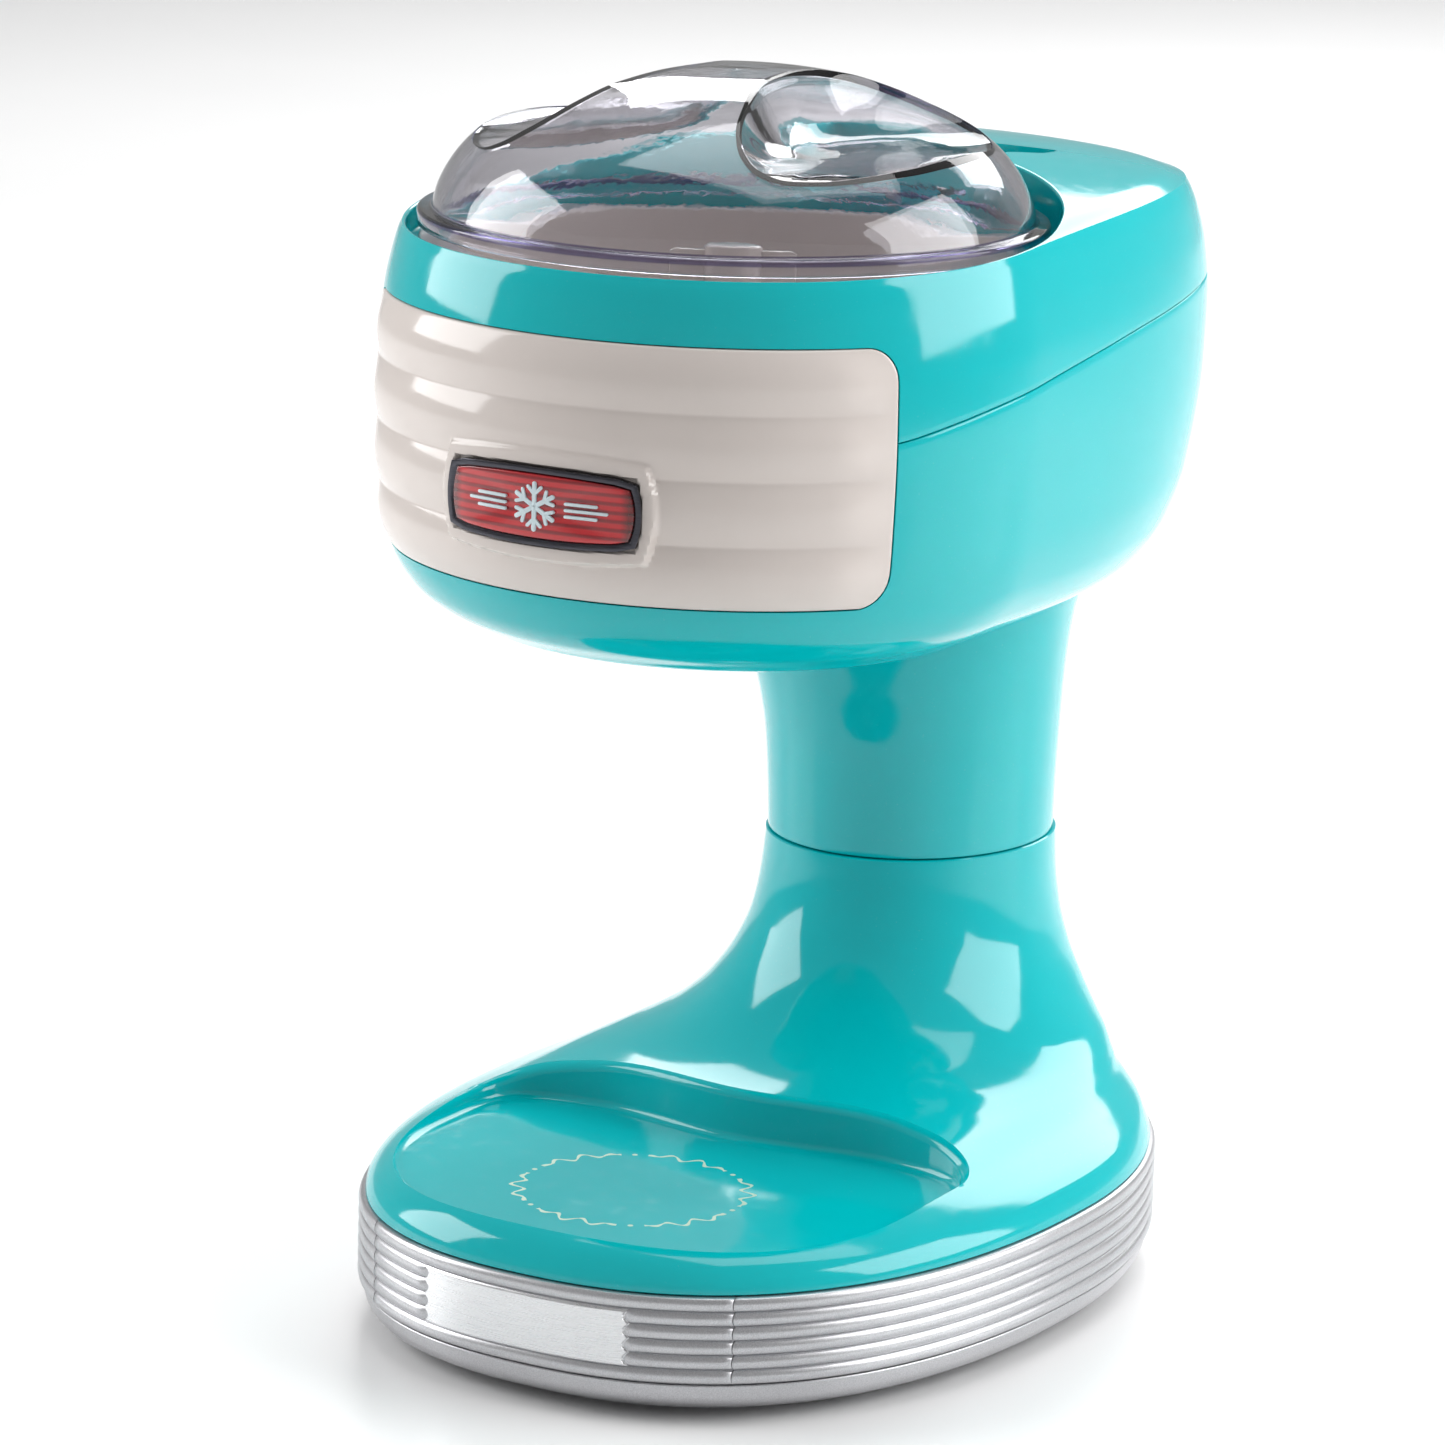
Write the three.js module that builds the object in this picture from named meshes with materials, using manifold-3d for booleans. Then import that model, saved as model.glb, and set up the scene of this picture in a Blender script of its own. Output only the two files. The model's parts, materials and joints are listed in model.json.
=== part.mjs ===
// Counter-top ice shaver: an egg-shaped base, a hollow column and a round-fronted head that holds
// the ice hopper, its impeller, the gear train, the motor and the press-to-run lid.
// Millimetres, +Z up, the front faces -Y. Every piece is first drawn about the hopper axis
// (x = 0, y = 0) and the whole machine is then moved so that its origin is the middle of its footprint.

import * as THREE from "three";
import { mergeVertices } from "three/addons/utils/BufferGeometryUtils.js";
import Module from "manifold-3d";

const wasm = await Module();
wasm.setup();

// ---------------------------------------------------------------- driving dimensions

const BOTH_SIDES = [-1, 1];
const GAP = 0.3;
const SIDES = 32;
const FINE_SIDES = 48;

const FOOT = { radius: 8, height: 2, x: 52, frontY: -42, rearY: 94 };
const PAN = { bottom: 2.3, floor: 2.4, wall: 2, top: 31, smoothTop: 10.4 };
const RING = { bottom: 10.7, top: 32.4, ribs: 6, ribDepth: 1, wall: 2 };
const NAMEPLATE = { halfWidth: 29, bottom: 14.3, top: 28.6, thickness: 0.8 };
const BASE = { half: 89.1, front: -88.3, rear: 156, middle: 38, frontPower: 2.35, rearPower: 2 };
const COVER_WALL = 2.6;
const RECESS = { floor: 40.3, half: 70, middle: -12, front: -81, rear: 20, bulge: 6, bulgeHalf: 45 };
const BASE_SCREWS = { x: 62, frontY: -2, rearX: 46, rearY: 116, postBottom: 8 };
const GLAND = { z: 19, radius: 6.5, proud: 1.4 };
const FOOTPRINT_MIDDLE_Y = (BASE.front - RING.ribDepth + BASE.rear + GLAND.proud) / 2;

const COLUMN_WALL = 3;
const COLUMN_SEAM_Z = 105.4;
const COLUMN_DECK_Z = 171;
const COLUMN_SCREWS = { x: 22, y: 100 };
const WIRE_HOLE = { radius: 12, y: 97 };

const HEAD_WALL = 3.4;
const HEAD_BOTTOM = 178;
const HEAD_WAIST = 235;
const HEAD_CREST = 276;
const CREST_DROP = 1.2;
const DECK = { peak: 289, peakY: 80, acrossFall: 0.001, frontFall: 0.0005, rearFall: 0.0011 };
const HEAD_SCREWS = { x: 50, y: 86, joint: 236 };
const PANEL = { bottom: 198, top: 260, halfAngle: 57.3, ribs: 4, ribDepth: 1.1, proud: 0.2, depth: 1.6 };
const BADGE = { z: 220.5, halfWidth: 25.5, halfHeight: 9.3, margin: 3.8, radius: 89.2 };

const WELL = { radius: 79.5, floor: 270.5, deck: 2.6, mouth: 72 };
const TONGUE_POCKET = { half: 27, rearY: 93, floor: 276.6 };

const HOPPER = {
  rimZ: 272.6,
  flangeRadius: 76.5,
  mouthRadius: 71.4,
  floorZ: 209.2,
  floorRadius: 63.5,
  wall: 2.2,
};
const BLADE_WINDOW = { half: 9, near: -40, far: -60 };
const CHUTE = { top: 204.2, bottom: 178.1, wall: 1.8 };

const GEAR_MODULE = 2;
const TEETH = { output: 30, compoundSmall: 14, compoundLarge: 36, pinion: 12 };
const LOW_GEARS = { bottom: 186, top: 193 };
const HIGH_GEARS = { bottom: 194, top: 200.5 };
const COMPOUND_Y = GEAR_MODULE * (TEETH.output + TEETH.compoundSmall) / 2;
const MOTOR_Y = COMPOUND_Y + GEAR_MODULE * (TEETH.compoundLarge + TEETH.pinion) / 2;
const GEARBOX = { bottom: 182, floor: 2.4, wallTop: 202.7, coverTop: 205.4, wall: 2 };
const SHAFT_RADIUS = 5;
const SHAFT_ENDS = { bottom: 184.8, top: 216.6 };
const OUTPUT_BUSH = { radius: 8.6, bottom: 201.4, top: 206.6 };
const COMPOUND_PIN = { radius: 3, bottom: 182.2, top: 205.2 };
const IMPELLER = {
  hubRadius: 7.15,
  bottom: 210,
  top: 273.5,
  finTop: 271,
  finHalf: 15.4,
  finThickness: 3.6,
  paddleTop: 223,
  paddleHalf: 57,
  paddleThickness: 4.4,
  turn: 30,
};
const MOTOR = { radius: 20, bottom: 205.7, bell: 4, top: 244, shaftRadius: 2.5, bushRadius: 5.3 };

const LID = {
  seat: 275.4, flangeTop: 279.4, flangeRadius: 77, domeRadius: 73.4, wall: 2.2,
  domeProfile: [
    [73.4, 279.4], [71.6, 287], [67.4, 294.5], [60, 301.2],
    [48, 307.2], [34, 311.4], [17, 313.8], [0, 314.6],
  ],
};
const SCOOP = { x: 40, y: -4, z: 322, halfX: 32, halfY: 60, halfZ: 24, tilt: 0.25 };
const TONGUE = { half: 20, rearY: 89, bottom: 279.4, thickness: 2.4 };
const PLUNGER = { y: 84.5, radius: 2.5, travel: 2.5, bottom: 260.4, collarBottom: 264.6, collarTop: 266.4 };
const SWITCH = { bottom: 247.4, top: 256.5, length: 20, width: 10 };
const BRACKET = { screwX: 24, half: 28.5, top: 247.1, thickness: 1.6 };
const BLADE_SCREWS = { x: 18, y: -50 };

// ---------------------------------------------------------------- materials

function finish(colour, roughness, metalness = 0) {
  return new THREE.MeshStandardMaterial({ color: colour, roughness, metalness });
}

const TURQUOISE = finish(0x00b3b6, 0.22);
const CREAM = finish(0xd9cfc8, 0.3);
const SILVER = finish(0xb4b4b6, 0.32, 0.7);
const SATIN = finish(0xc8c8ca, 0.4, 0.8);
const DARK_CHROME = finish(0x2b2b30, 0.25, 0.9);
const RED = finish(0xaa1216, 0.3);
const SMOKE = finish(0x8a84a8, 0.08);
const STEEL = finish(0x9a9ca0, 0.35, 1);
const ACETAL = finish(0xe6e2d6, 0.45);
const BRONZE = finish(0xa87a3e, 0.45, 1);
const BLACK = finish(0x1b1b1d, 0.6);

// ---------------------------------------------------------------- solids and joins

function toSolid(geometry) {
  const bare = geometry.clone();
  bare.deleteAttribute("normal");
  bare.deleteAttribute("uv");
  const merged = mergeVertices(bare, 1e-4);
  const corners = [];
  for (let i = 0; i < merged.index.count; i += 3) {
    const [a, b, c] = [0, 1, 2].map((step) => merged.index.getX(i + step));
    if (a !== b && b !== c && a !== c) corners.push(a, b, c);
  }
  return new wasm.Manifold(new wasm.Mesh({
    numProp: 3,
    vertProperties: new Float32Array(merged.attributes.position.array),
    triVerts: new Uint32Array(corners),
  }));
}

function fromSolid(solid) {
  const mesh = solid.getMesh();
  const geometry = new THREE.BufferGeometry();
  geometry.setAttribute("position", new THREE.BufferAttribute(new Float32Array(mesh.vertProperties), 3));
  geometry.setIndex(new THREE.BufferAttribute(new Uint32Array(mesh.triVerts), 1));
  geometry.computeVertexNormals();
  return geometry;
}

function join(...solids) {
  return solids.reduce((sum, solid) => sum.add(solid));
}

function cut(solid, ...tools) {
  return tools.reduce((rest, tool) => rest.subtract(tool), solid);
}

// A closed solid through rings of equal point counts, listed from the bottom up and anticlockwise.
function loft(rings) {
  const count = rings[0].length;
  const points = rings.flat();
  const middle = (ring) => ring.reduce((sum, p) => sum.add(p), new THREE.Vector3()).divideScalar(count);
  points.push(middle(rings[0]), middle(rings[rings.length - 1]));
  const [low, high] = [points.length - 2, points.length - 1];
  const faces = [];
  for (let i = 0; i < count; i += 1) {
    const j = (i + 1) % count;
    for (let k = 0; k < rings.length - 1; k += 1) {
      const [a, b] = [k * count + i, k * count + j];
      faces.push(a, b, b + count, a, b + count, a + count);
    }
    const top = (rings.length - 1) * count;
    faces.push(low, j, i, high, top + i, top + j);
  }
  const geometry = new THREE.BufferGeometry().setFromPoints(points);
  geometry.setIndex(faces);
  return toSolid(geometry);
}

function cylinder(radius, bottom, top, x = 0, y = 0, sides = 20) {
  const geometry = new THREE.CylinderGeometry(radius, radius, top - bottom, sides);
  geometry.rotateX(Math.PI / 2);
  geometry.translate(x, y, (bottom + top) / 2);
  return toSolid(geometry);
}

function tube(outer, inner, bottom, top, x = 0, y = 0, sides = 20) {
  return cut(cylinder(outer, bottom, top, x, y, sides), cylinder(inner, bottom - 1, top + 1, x, y, sides));
}

function block(low, high) {
  const size = high.map((value, axis) => value - low[axis]);
  const geometry = new THREE.BoxGeometry(...size);
  geometry.translate(...high.map((value, axis) => (value + low[axis]) / 2));
  return toSolid(geometry);
}

function turned(profile, sides = 30) {
  const geometry = new THREE.LatheGeometry(profile.map(([r, z]) => new THREE.Vector2(r, z)), sides);
  geometry.rotateX(Math.PI / 2);
  return toSolid(geometry);
}

// A shape drawn in X and Z, extruded along Y.
function frontPrism(shape, nearY, farY) {
  const options = { depth: farY - nearY, bevelEnabled: false, curveSegments: 6 };
  const geometry = new THREE.ExtrudeGeometry(shape, options);
  geometry.rotateX(Math.PI / 2);
  geometry.translate(0, farY, 0);
  return toSolid(geometry);
}

// ---------------------------------------------------------------- outlines

// Distance from an outline's middle to its edge: one superellipse for the front, one for the rear.
function reach(angle, half, front, rear, frontPower, rearPower) {
  const [c, s] = [Math.abs(Math.cos(angle)), Math.abs(Math.sin(angle))];
  const isRear = Math.sin(angle) > 0;
  const power = isRear ? rearPower : frontPower;
  const depth = isRear ? rear : front;
  return ((c / half) ** power + (s / depth) ** power) ** (-1 / power);
}

function ringAt(z, section, offset = 0, sides = SIDES) {
  const { half, front, rear, middle, frontPower, rearPower } = section;
  return Array.from({ length: sides }, (_, i) => {
    const angle = (2 * Math.PI * i) / sides;
    const [f, r] = [middle - front + offset, rear - middle + offset];
    const distance = reach(angle, half + offset, f, r, frontPower, rearPower);
    return new THREE.Vector3(distance * Math.cos(angle), middle + distance * Math.sin(angle), z);
  });
}

function stack(levels, offset = 0, lift = 0) {
  return loft(levels.map((level) => ringAt(level.z + lift, level, offset)));
}

function sections(rows) {
  return rows.map(([z, half, front, rear, middle, frontPower = 2, rearPower = 2]) => (
    { z, half, front, rear, middle, frontPower, rearPower }));
}

// ---------------------------------------------------------------- base

const COVER_LEVELS = sections([
  [32.8, 88.6, -87.8, 155.6, 38, 2.35, 2],
  [37, 87, -86, 154, 39, 2.35, 2],
  [41, 82, -81.5, 152, 42, 2.35, 2.1],
  [46, 71, -68, 150, 50, 2.35, 2.3],
  [49, 66, -38, 149.3, 60, 2.3, 2.5],
  [52.5, 59.5, 8, 148.6, 76, 2.3, 2.7],
  [58, 52.5, 31, 147.8, 90, 2.1, 2.8],
  [65, 47.5, 41.5, 147, 95.5, 2, 2.6],
  [74, 42, 50, 146.4, 98.5, 2, 2.35],
  [88, 38, 57, 145.8, 101.5, 2, 2.1],
  [COLUMN_SEAM_Z, 36.8, 60, 145.5, 103],
]);

function baseStack(levels) {
  return loft(levels.map(([z, offset]) => ringAt(z, BASE, offset)));
}

function recessRing(z, offset) {
  const section = { ...RECESS, frontPower: 2.3, rearPower: 4.5 };
  return ringAt(z, section, offset).map((p) => {
    const share = Math.min(1, Math.abs(p.x) / RECESS.bulgeHalf);
    const push = p.y > 0 ? RECESS.bulge * Math.cos((share * Math.PI) / 2) ** 2 : 0;
    return new THREE.Vector3(p.x, p.y - push, z);
  });
}

function recessTool(offset, floor) {
  return loft([recessRing(floor, offset), recessRing(floor + 1.5, offset + 1), recessRing(90, offset + 6)]);
}

const SCREW_PLACES = [
  [-BASE_SCREWS.x, BASE_SCREWS.frontY], [BASE_SCREWS.x, BASE_SCREWS.frontY],
  [-BASE_SCREWS.rearX, BASE_SCREWS.rearY], [BASE_SCREWS.rearX, BASE_SCREWS.rearY],
];

function makeBasePan() {
  const inner = PAN.wall + RING.wall + GAP;
  const outside = baseStack([
    [PAN.bottom, -7], [PAN.bottom + 1.6, -3.2], [5.6, -1.2], [PAN.smoothTop, 0],
    [PAN.smoothTop + 0.01, -RING.wall - GAP], [PAN.top, -RING.wall - GAP],
  ]);
  const floorZ = PAN.bottom + PAN.floor;
  const hollow = baseStack([[floorZ, -inner - 2.5], [floorZ + 2, -inner], [PAN.top + 5, -inner]]);
  const cups = SCREW_PLACES.map(([x, y]) => cylinder(6.5, PAN.bottom + 1, 7.7, x, y, 12));
  const bores = SCREW_PLACES.map(([x, y]) => join(
    cylinder(3.9, PAN.bottom - 1, 5.5, x, y, 12),
    cylinder(1.9, 5, 9, x, y, 8),
  ));
  const glandHole = new THREE.CylinderGeometry(GLAND.radius + GAP, GLAND.radius + GAP, 30, 20);
  glandHole.translate(0, BASE.rear, GLAND.z);
  return cut(join(cut(outside, hollow), ...cups), ...bores, toSolid(glandHole));
}

function makeTrimRing() {
  const pitch = (RING.top - RING.bottom) / RING.ribs;
  const levels = [[RING.bottom, 0]];
  for (let rib = 0; rib < RING.ribs; rib += 1) {
    levels.push([RING.bottom + pitch * (rib + 0.5), RING.ribDepth], [RING.bottom + pitch * (rib + 1), 0]);
  }
  const bore = baseStack([[RING.bottom - 1, -RING.wall], [RING.top + 1, -RING.wall]]);
  const glandHole = new THREE.CylinderGeometry(GLAND.radius + GAP, GLAND.radius + GAP, 30, 20);
  glandHole.translate(0, BASE.rear, GLAND.z);
  return cut(baseStack(levels), bore, platePrism(GAP, 0.3), toSolid(glandHole));
}

// The curved space of the nameplate, which lies over four ribs at the front of the ring.
function platePrism(clearance, sink) {
  const { halfWidth, bottom, top } = NAMEPLATE;
  const [low, high] = [bottom - clearance, top + clearance];
  const window = block([-halfWidth - clearance, -130, low], [halfWidth + clearance, -60, high]);
  const behind = baseStack([[low - 5, -sink], [high + 5, -sink]]);
  return cut(window, behind);
}

function makeNameplate() {
  const front = baseStack([[0, NAMEPLATE.thickness], [60, NAMEPLATE.thickness]]);
  return platePrism(0, 0).intersect(front);
}

function makeBaseCover() {
  const outside = stack(COVER_LEVELS);
  const roof = COVER_LEVELS.map((level) => ({ ...level, z: level.z - COVER_WALL }));
  roof[0] = { ...roof[0], z: COVER_LEVELS[0].z - 1 };
  roof[roof.length - 1] = { ...roof[roof.length - 1], z: COLUMN_SEAM_Z + 1 };
  const hollow = cut(stack(roof, -COVER_WALL), recessTool(COVER_WALL, RECESS.floor - COVER_WALL));
  const posts = SCREW_PLACES.map(([x, y]) => join(
    cylinder(4.2, 30, 60, x, y, 12).intersect(outside),
    cylinder(4.2, BASE_SCREWS.postBottom, 36, x, y, 12),
  ));
  const pilots = SCREW_PLACES.map(([x, y]) => cylinder(1.8, 0, 24, x, y, 8));
  const shell = cut(outside, hollow);
  return cut(join(shell, ...posts), recessTool(0, RECESS.floor), ...pilots);
}

function makeBaseScrew() {
  return join(cylinder(3.5, 2.8, 5.2, 0, 0, 12), cylinder(1.5, 5, 20, 0, 0, 8));
}

function makeGland() {
  const profile = [
    [0, -9], [4.5, -9], [4.5, -4], [GLAND.radius, -4],
    [GLAND.radius, 0.6], [5, GLAND.proud], [0, GLAND.proud],
  ];
  return turned(profile, 20);
}

// ---------------------------------------------------------------- column

const SLEEVE_LEVELS = sections([
  [COLUMN_SEAM_Z + GAP, 36.3, 61, 144.2, 102.5],
  [130, 37.8, 60.6, 142.6, 101.6],
  [150, 40.5, 56.6, 140.4, 98.6],
  [168, 45, 51.3, 137.6, 94.6],
  [178, 49.5, 46, 136.4, 92.5],
  [190, 56, 40, 136, 90],
]);

function makeColumnSleeve() {
  const hollow = stack(SLEEVE_LEVELS, -COLUMN_WALL);
  const below = block([-80, -20, 80], [80, 180, COLUMN_DECK_Z]);
  const mouth = loft([90, 107].map((z) => ringAt(z, SLEEVE_LEVELS[0], -COLUMN_WALL)));
  const shell = cut(stack(SLEEVE_LEVELS), hollow.intersect(below), mouth, headSkin(2 * GAP));
  const wires = cylinder(WIRE_HOLE.radius, 160, 200, 0, WIRE_HOLE.y, 24);
  const pilots = BOTH_SIDES.map((side) => (
    cylinder(1.8, 160, 200, side * COLUMN_SCREWS.x, COLUMN_SCREWS.y, 8)));
  return cut(shell, wires, ...pilots);
}

function makeNeckSpigot() {
  const levels = [COLUMN_SEAM_Z - 9, COLUMN_SEAM_Z + 9];
  const outer = levels.map((z) => ringAt(z, SLEEVE_LEVELS[0], -COLUMN_WALL - 0.6));
  const inner = [levels[0] - 1, levels[1] + 1].map((z) => ringAt(z, SLEEVE_LEVELS[0], -COLUMN_WALL - 2.8));
  return cut(loft(outer), loft(inner));
}

// ---------------------------------------------------------------- head

const HEAD_LEVELS = [
  [HEAD_BOTTOM, 57, 122, 2.8],
  [180.5, 64, 130, 2.85],
  [184, 71.5, 135, 2.9],
  [189, 77.4, 139, 2.9],
  [197, 82, 142, 3],
  [210, 84.9, 145, 3.15],
  [HEAD_WAIST, 86, 149, 3.3],
  [252, 85.5, 151, 3.3],
  [262, 84.4, 150, 3.3],
  [270, 82.7, 147, 3.3],
  [HEAD_CREST, 80.6, 142, 3.3],
];

function deckHeight(x, y) {
  const fall = y < DECK.peakY ? DECK.frontFall : DECK.rearFall;
  return DECK.peak - DECK.acrossFall * x * x - fall * (y - DECK.peakY) ** 2;
}

function headOutline(angle, half, rear, power, offset) {
  const distance = reach(angle, half + offset, half + offset, rear + offset, 2, power);
  return [distance * Math.cos(angle), distance * Math.sin(angle)];
}

// The head's outer skin, moved outwards by offset (inwards when it is negative).
function headSkin(offset, levels = HEAD_LEVELS) {
  const rings = levels.map(([z, half, rear, power]) => Array.from({ length: SIDES }, (_, i) => {
    const angle = (2 * Math.PI * i) / SIDES;
    const [x, y] = headOutline(angle, half, rear, power, offset);
    const crest = deckHeight(x, y) - CREST_DROP;
    const rise = Math.max(0, z - HEAD_WAIST) * (crest - HEAD_WAIST) / (HEAD_CREST - HEAD_WAIST);
    const share = (z - HEAD_WAIST) / (z > HEAD_WAIST ? HEAD_CREST - HEAD_WAIST : HEAD_WAIST - HEAD_BOTTOM);
    return new THREE.Vector3(x, y, Math.min(z, HEAD_WAIST) + rise + offset * share);
  }));
  const edge = rings[rings.length - 1];
  for (const scale of [0.95, 0.75, 0.4]) {
    const drop = scale > 0.9 ? CREST_DROP * 0.3 : 0;
    rings.push(edge.map((p) => new THREE.Vector3(
      p.x * scale, p.y * scale, deckHeight(p.x * scale, p.y * scale) - drop + offset,
    )));
  }
  return loft(rings);
}

// Everything above the parting line, which rises from the panel to the rear.
function aboveParting(lift) {
  const line = [[-140, 243.4], [-25, 243.4], [58, 253.6], [110, 257.6], [200, 261]];
  const shape = new THREE.Shape(line.map(([y, z]) => new THREE.Vector2(y, z + lift)));
  shape.lineTo(200, 340);
  shape.lineTo(-140, 340);
  const geometry = new THREE.ExtrudeGeometry(shape, { depth: 240, bevelEnabled: false });
  geometry.applyMatrix4(new THREE.Matrix4().set(0, 0, 1, -120, 1, 0, 0, 0, 0, 1, 0, 0, 0, 0, 0, 1));
  return toSolid(geometry);
}

// A wedge about the hopper axis, as wide as the front panel.
function panelWedge(bottom, top, clearance) {
  const angle = THREE.MathUtils.degToRad(PANEL.halfAngle) + clearance / 86;
  const shape = new THREE.Shape();
  shape.moveTo(0, -20);
  shape.lineTo(-130 * Math.sin(angle), -130 * Math.cos(angle));
  shape.lineTo(0, -230);
  shape.lineTo(130 * Math.sin(angle), -130 * Math.cos(angle));
  const depth = top - bottom + 2 * clearance;
  const geometry = new THREE.ExtrudeGeometry(shape, { depth, bevelEnabled: false });
  geometry.translate(0, 0, bottom - clearance);
  return toSolid(geometry);
}

function panelPocket() {
  return cut(panelWedge(PANEL.bottom, PANEL.top, GAP), headSkin(-PANEL.depth - GAP));
}

function headShell() {
  const well = cylinder(WELL.radius, WELL.floor, 320, 0, 0, SIDES);
  const underWell = cylinder(WELL.radius + 2.6, WELL.floor - WELL.deck, 320, 0, 0, SIDES);
  const { half, rearY, floor } = TONGUE_POCKET;
  const pocket = block([-half, 40, floor], [half, rearY, 320]);
  const underPocket = block([-half - 2.6, 40, floor - 2.6], [half + 2.6, rearY + 2.6, 320]);
  const inside = HEAD_LEVELS.filter((_, i) => [0, 2, 4, 6, 8, 10].includes(i));
  const hollow = cut(headSkin(-HEAD_WALL, inside), underWell, underPocket);
  return cut(headSkin(0), hollow, well, pocket, panelPocket());
}

function makeHeadUpperShell(shell) {
  const mouth = cylinder(WELL.mouth, 250, 300, 0, 0, SIDES);
  const plungerHole = cylinder(PLUNGER.radius + GAP, 260, 300, 0, PLUNGER.y, 16);
  const bosses = BOTH_SIDES.flatMap((side) => [
    cylinder(4.5, HEAD_SCREWS.joint + GAP, 283, side * HEAD_SCREWS.x, HEAD_SCREWS.y, 12),
    cylinder(3.6, BRACKET.top + GAP, 276, side * BRACKET.screwX, PLUNGER.y, 12),
  ]);
  const pilots = BOTH_SIDES.flatMap((side) => [
    cylinder(1.8, 230, 252, side * HEAD_SCREWS.x, HEAD_SCREWS.y, 8),
    cylinder(1.5, 240, 258, side * BRACKET.screwX, PLUNGER.y, 8),
  ]);
  return cut(join(cut(shell.intersect(aboveParting(GAP / 2)), mouth, plungerHole), ...bosses), ...pilots);
}

function makeHeadLowerShell(shell) {
  const posts = BOTH_SIDES.map((side) => (
    cylinder(6, 179, HEAD_SCREWS.joint, side * HEAD_SCREWS.x, HEAD_SCREWS.y, 12)));
  const bores = BOTH_SIDES.map((side) => join(
    cylinder(3.9, 170, HEAD_SCREWS.joint - 3, side * HEAD_SCREWS.x, HEAD_SCREWS.y, 12),
    cylinder(1.9, 200, 240, side * HEAD_SCREWS.x, HEAD_SCREWS.y, 8),
  ));
  const columnHoles = BOTH_SIDES.map((side) => (
    cylinder(1.9, 170, 190, side * COLUMN_SCREWS.x, COLUMN_SCREWS.y, 8)));
  const wires = cylinder(WIRE_HOLE.radius, 170, 190, 0, WIRE_HOLE.y, 24);
  const lower = cut(shell, aboveParting(-GAP / 2));
  return cut(join(lower, ...posts), ...bores, ...columnHoles, wires, chuteSolid(0.4, 0.4));
}

function makeHeadScrew() {
  const headZ = HEAD_SCREWS.joint - 3 - GAP;
  return join(cylinder(3.3, headZ - 2.4, headZ, 0, 0, 12), cylinder(1.5, headZ - 1, 250, 0, 0, 8));
}

function makeColumnScrew() {
  return join(cylinder(3.3, 181.8, 184, 0, 0, 12), cylinder(1.5, 173, 182, 0, 0, 8));
}

// ---------------------------------------------------------------- front panel and badge

function makeFrontPanel() {
  const pitch = (PANEL.top - PANEL.bottom) / PANEL.ribs;
  const profileOf = (z) => Math.abs(Math.sin((Math.PI * (z - PANEL.bottom)) / pitch)) ** 0.7;
  const steps = PANEL.ribs * 3;
  const rings = [];
  for (let step = 0; step <= steps; step += 1) {
    const z = PANEL.bottom + ((PANEL.top - PANEL.bottom) * step) / steps;
    const skin = headRadius(z);
    const offset = PANEL.proud + PANEL.ribDepth * profileOf(z);
    rings.push(circleRing(skin + offset, z));
  }
  const slab = cut(loft(rings), headSkin(-PANEL.depth)).intersect(panelWedge(PANEL.bottom, PANEL.top, 0));
  const boss = badgeSolid(BADGE.margin, 84.5, BADGE.radius - 1.2);
  return cut(join(slab, boss), badgeSolid(GAP, BADGE.radius - 2.3, 100));
}

function headRadius(z) {
  const row = HEAD_LEVELS.findIndex(([level]) => level >= z);
  const [z0, r0] = HEAD_LEVELS[row - 1];
  const [z1, r1] = HEAD_LEVELS[row];
  return r0 + ((r1 - r0) * (z - z0)) / (z1 - z0);
}

function circleRing(radius, z) {
  const circle = { half: radius, front: -radius, rear: radius, middle: 0, frontPower: 2, rearPower: 2 };
  return ringAt(z, circle, 0, FINE_SIDES);
}

// The badge's barrel outline grown by margin, between two radii about the hopper axis.
function badgeSolid(margin, inner, outer) {
  const [w, h] = [BADGE.halfWidth + margin, BADGE.halfHeight + margin];
  const shape = new THREE.Shape();
  shape.moveTo(-w + 2, -h + 1);
  shape.quadraticCurveTo(0, -h - 1, w - 2, -h + 1);
  shape.quadraticCurveTo(w + 2, 0, w - 2, h - 1);
  shape.quadraticCurveTo(0, h + 1, -w + 2, h - 1);
  shape.quadraticCurveTo(-w - 2, 0, -w + 2, -h + 1);
  const geometry = new THREE.ExtrudeGeometry(shape, { depth: 60, bevelEnabled: false, curveSegments: 6 });
  geometry.rotateX(Math.PI / 2);
  geometry.translate(0, -50, BADGE.z);
  return toSolid(geometry).intersect(tube(outer, inner, 180, 280, 0, 0, FINE_SIDES));
}

function makeBadgeBezel() {
  return cut(badgeSolid(0, BADGE.radius - 2, BADGE.radius), badgeSolid(-1.8, BADGE.radius - 1.1, 100));
}

function makeBadgePlate() {
  return badgeSolid(-1.8 - GAP, BADGE.radius - 0.8, BADGE.radius - 0.2);
}

// ---------------------------------------------------------------- hopper, blade and chute

function makeHopper() {
  const { rimZ, flangeRadius, mouthRadius, floorZ, floorRadius, wall } = HOPPER;
  const profile = [
    [6.5, floorZ - wall], [floorRadius - 3, floorZ - wall], [floorRadius, floorZ + 2],
    [mouthRadius, rimZ - 6], [mouthRadius, rimZ - 1.8], [flangeRadius, rimZ - 1.8], [flangeRadius, rimZ],
    [mouthRadius - wall, rimZ], [mouthRadius - wall, rimZ - 6], [floorRadius - wall, floorZ + 3],
    [floorRadius - wall - 3, floorZ], [6.5, floorZ], [6.5, floorZ - wall],
  ];
  const { half, near, far } = BLADE_WINDOW;
  const screwHoles = BOTH_SIDES.map((side) => (
    cylinder(1.5, 200, 208, side * BLADE_SCREWS.x, BLADE_SCREWS.y, 8)));
  return cut(turned(profile), block([-half, far, 200], [half, near, 215]), ...screwHoles);
}

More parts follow.
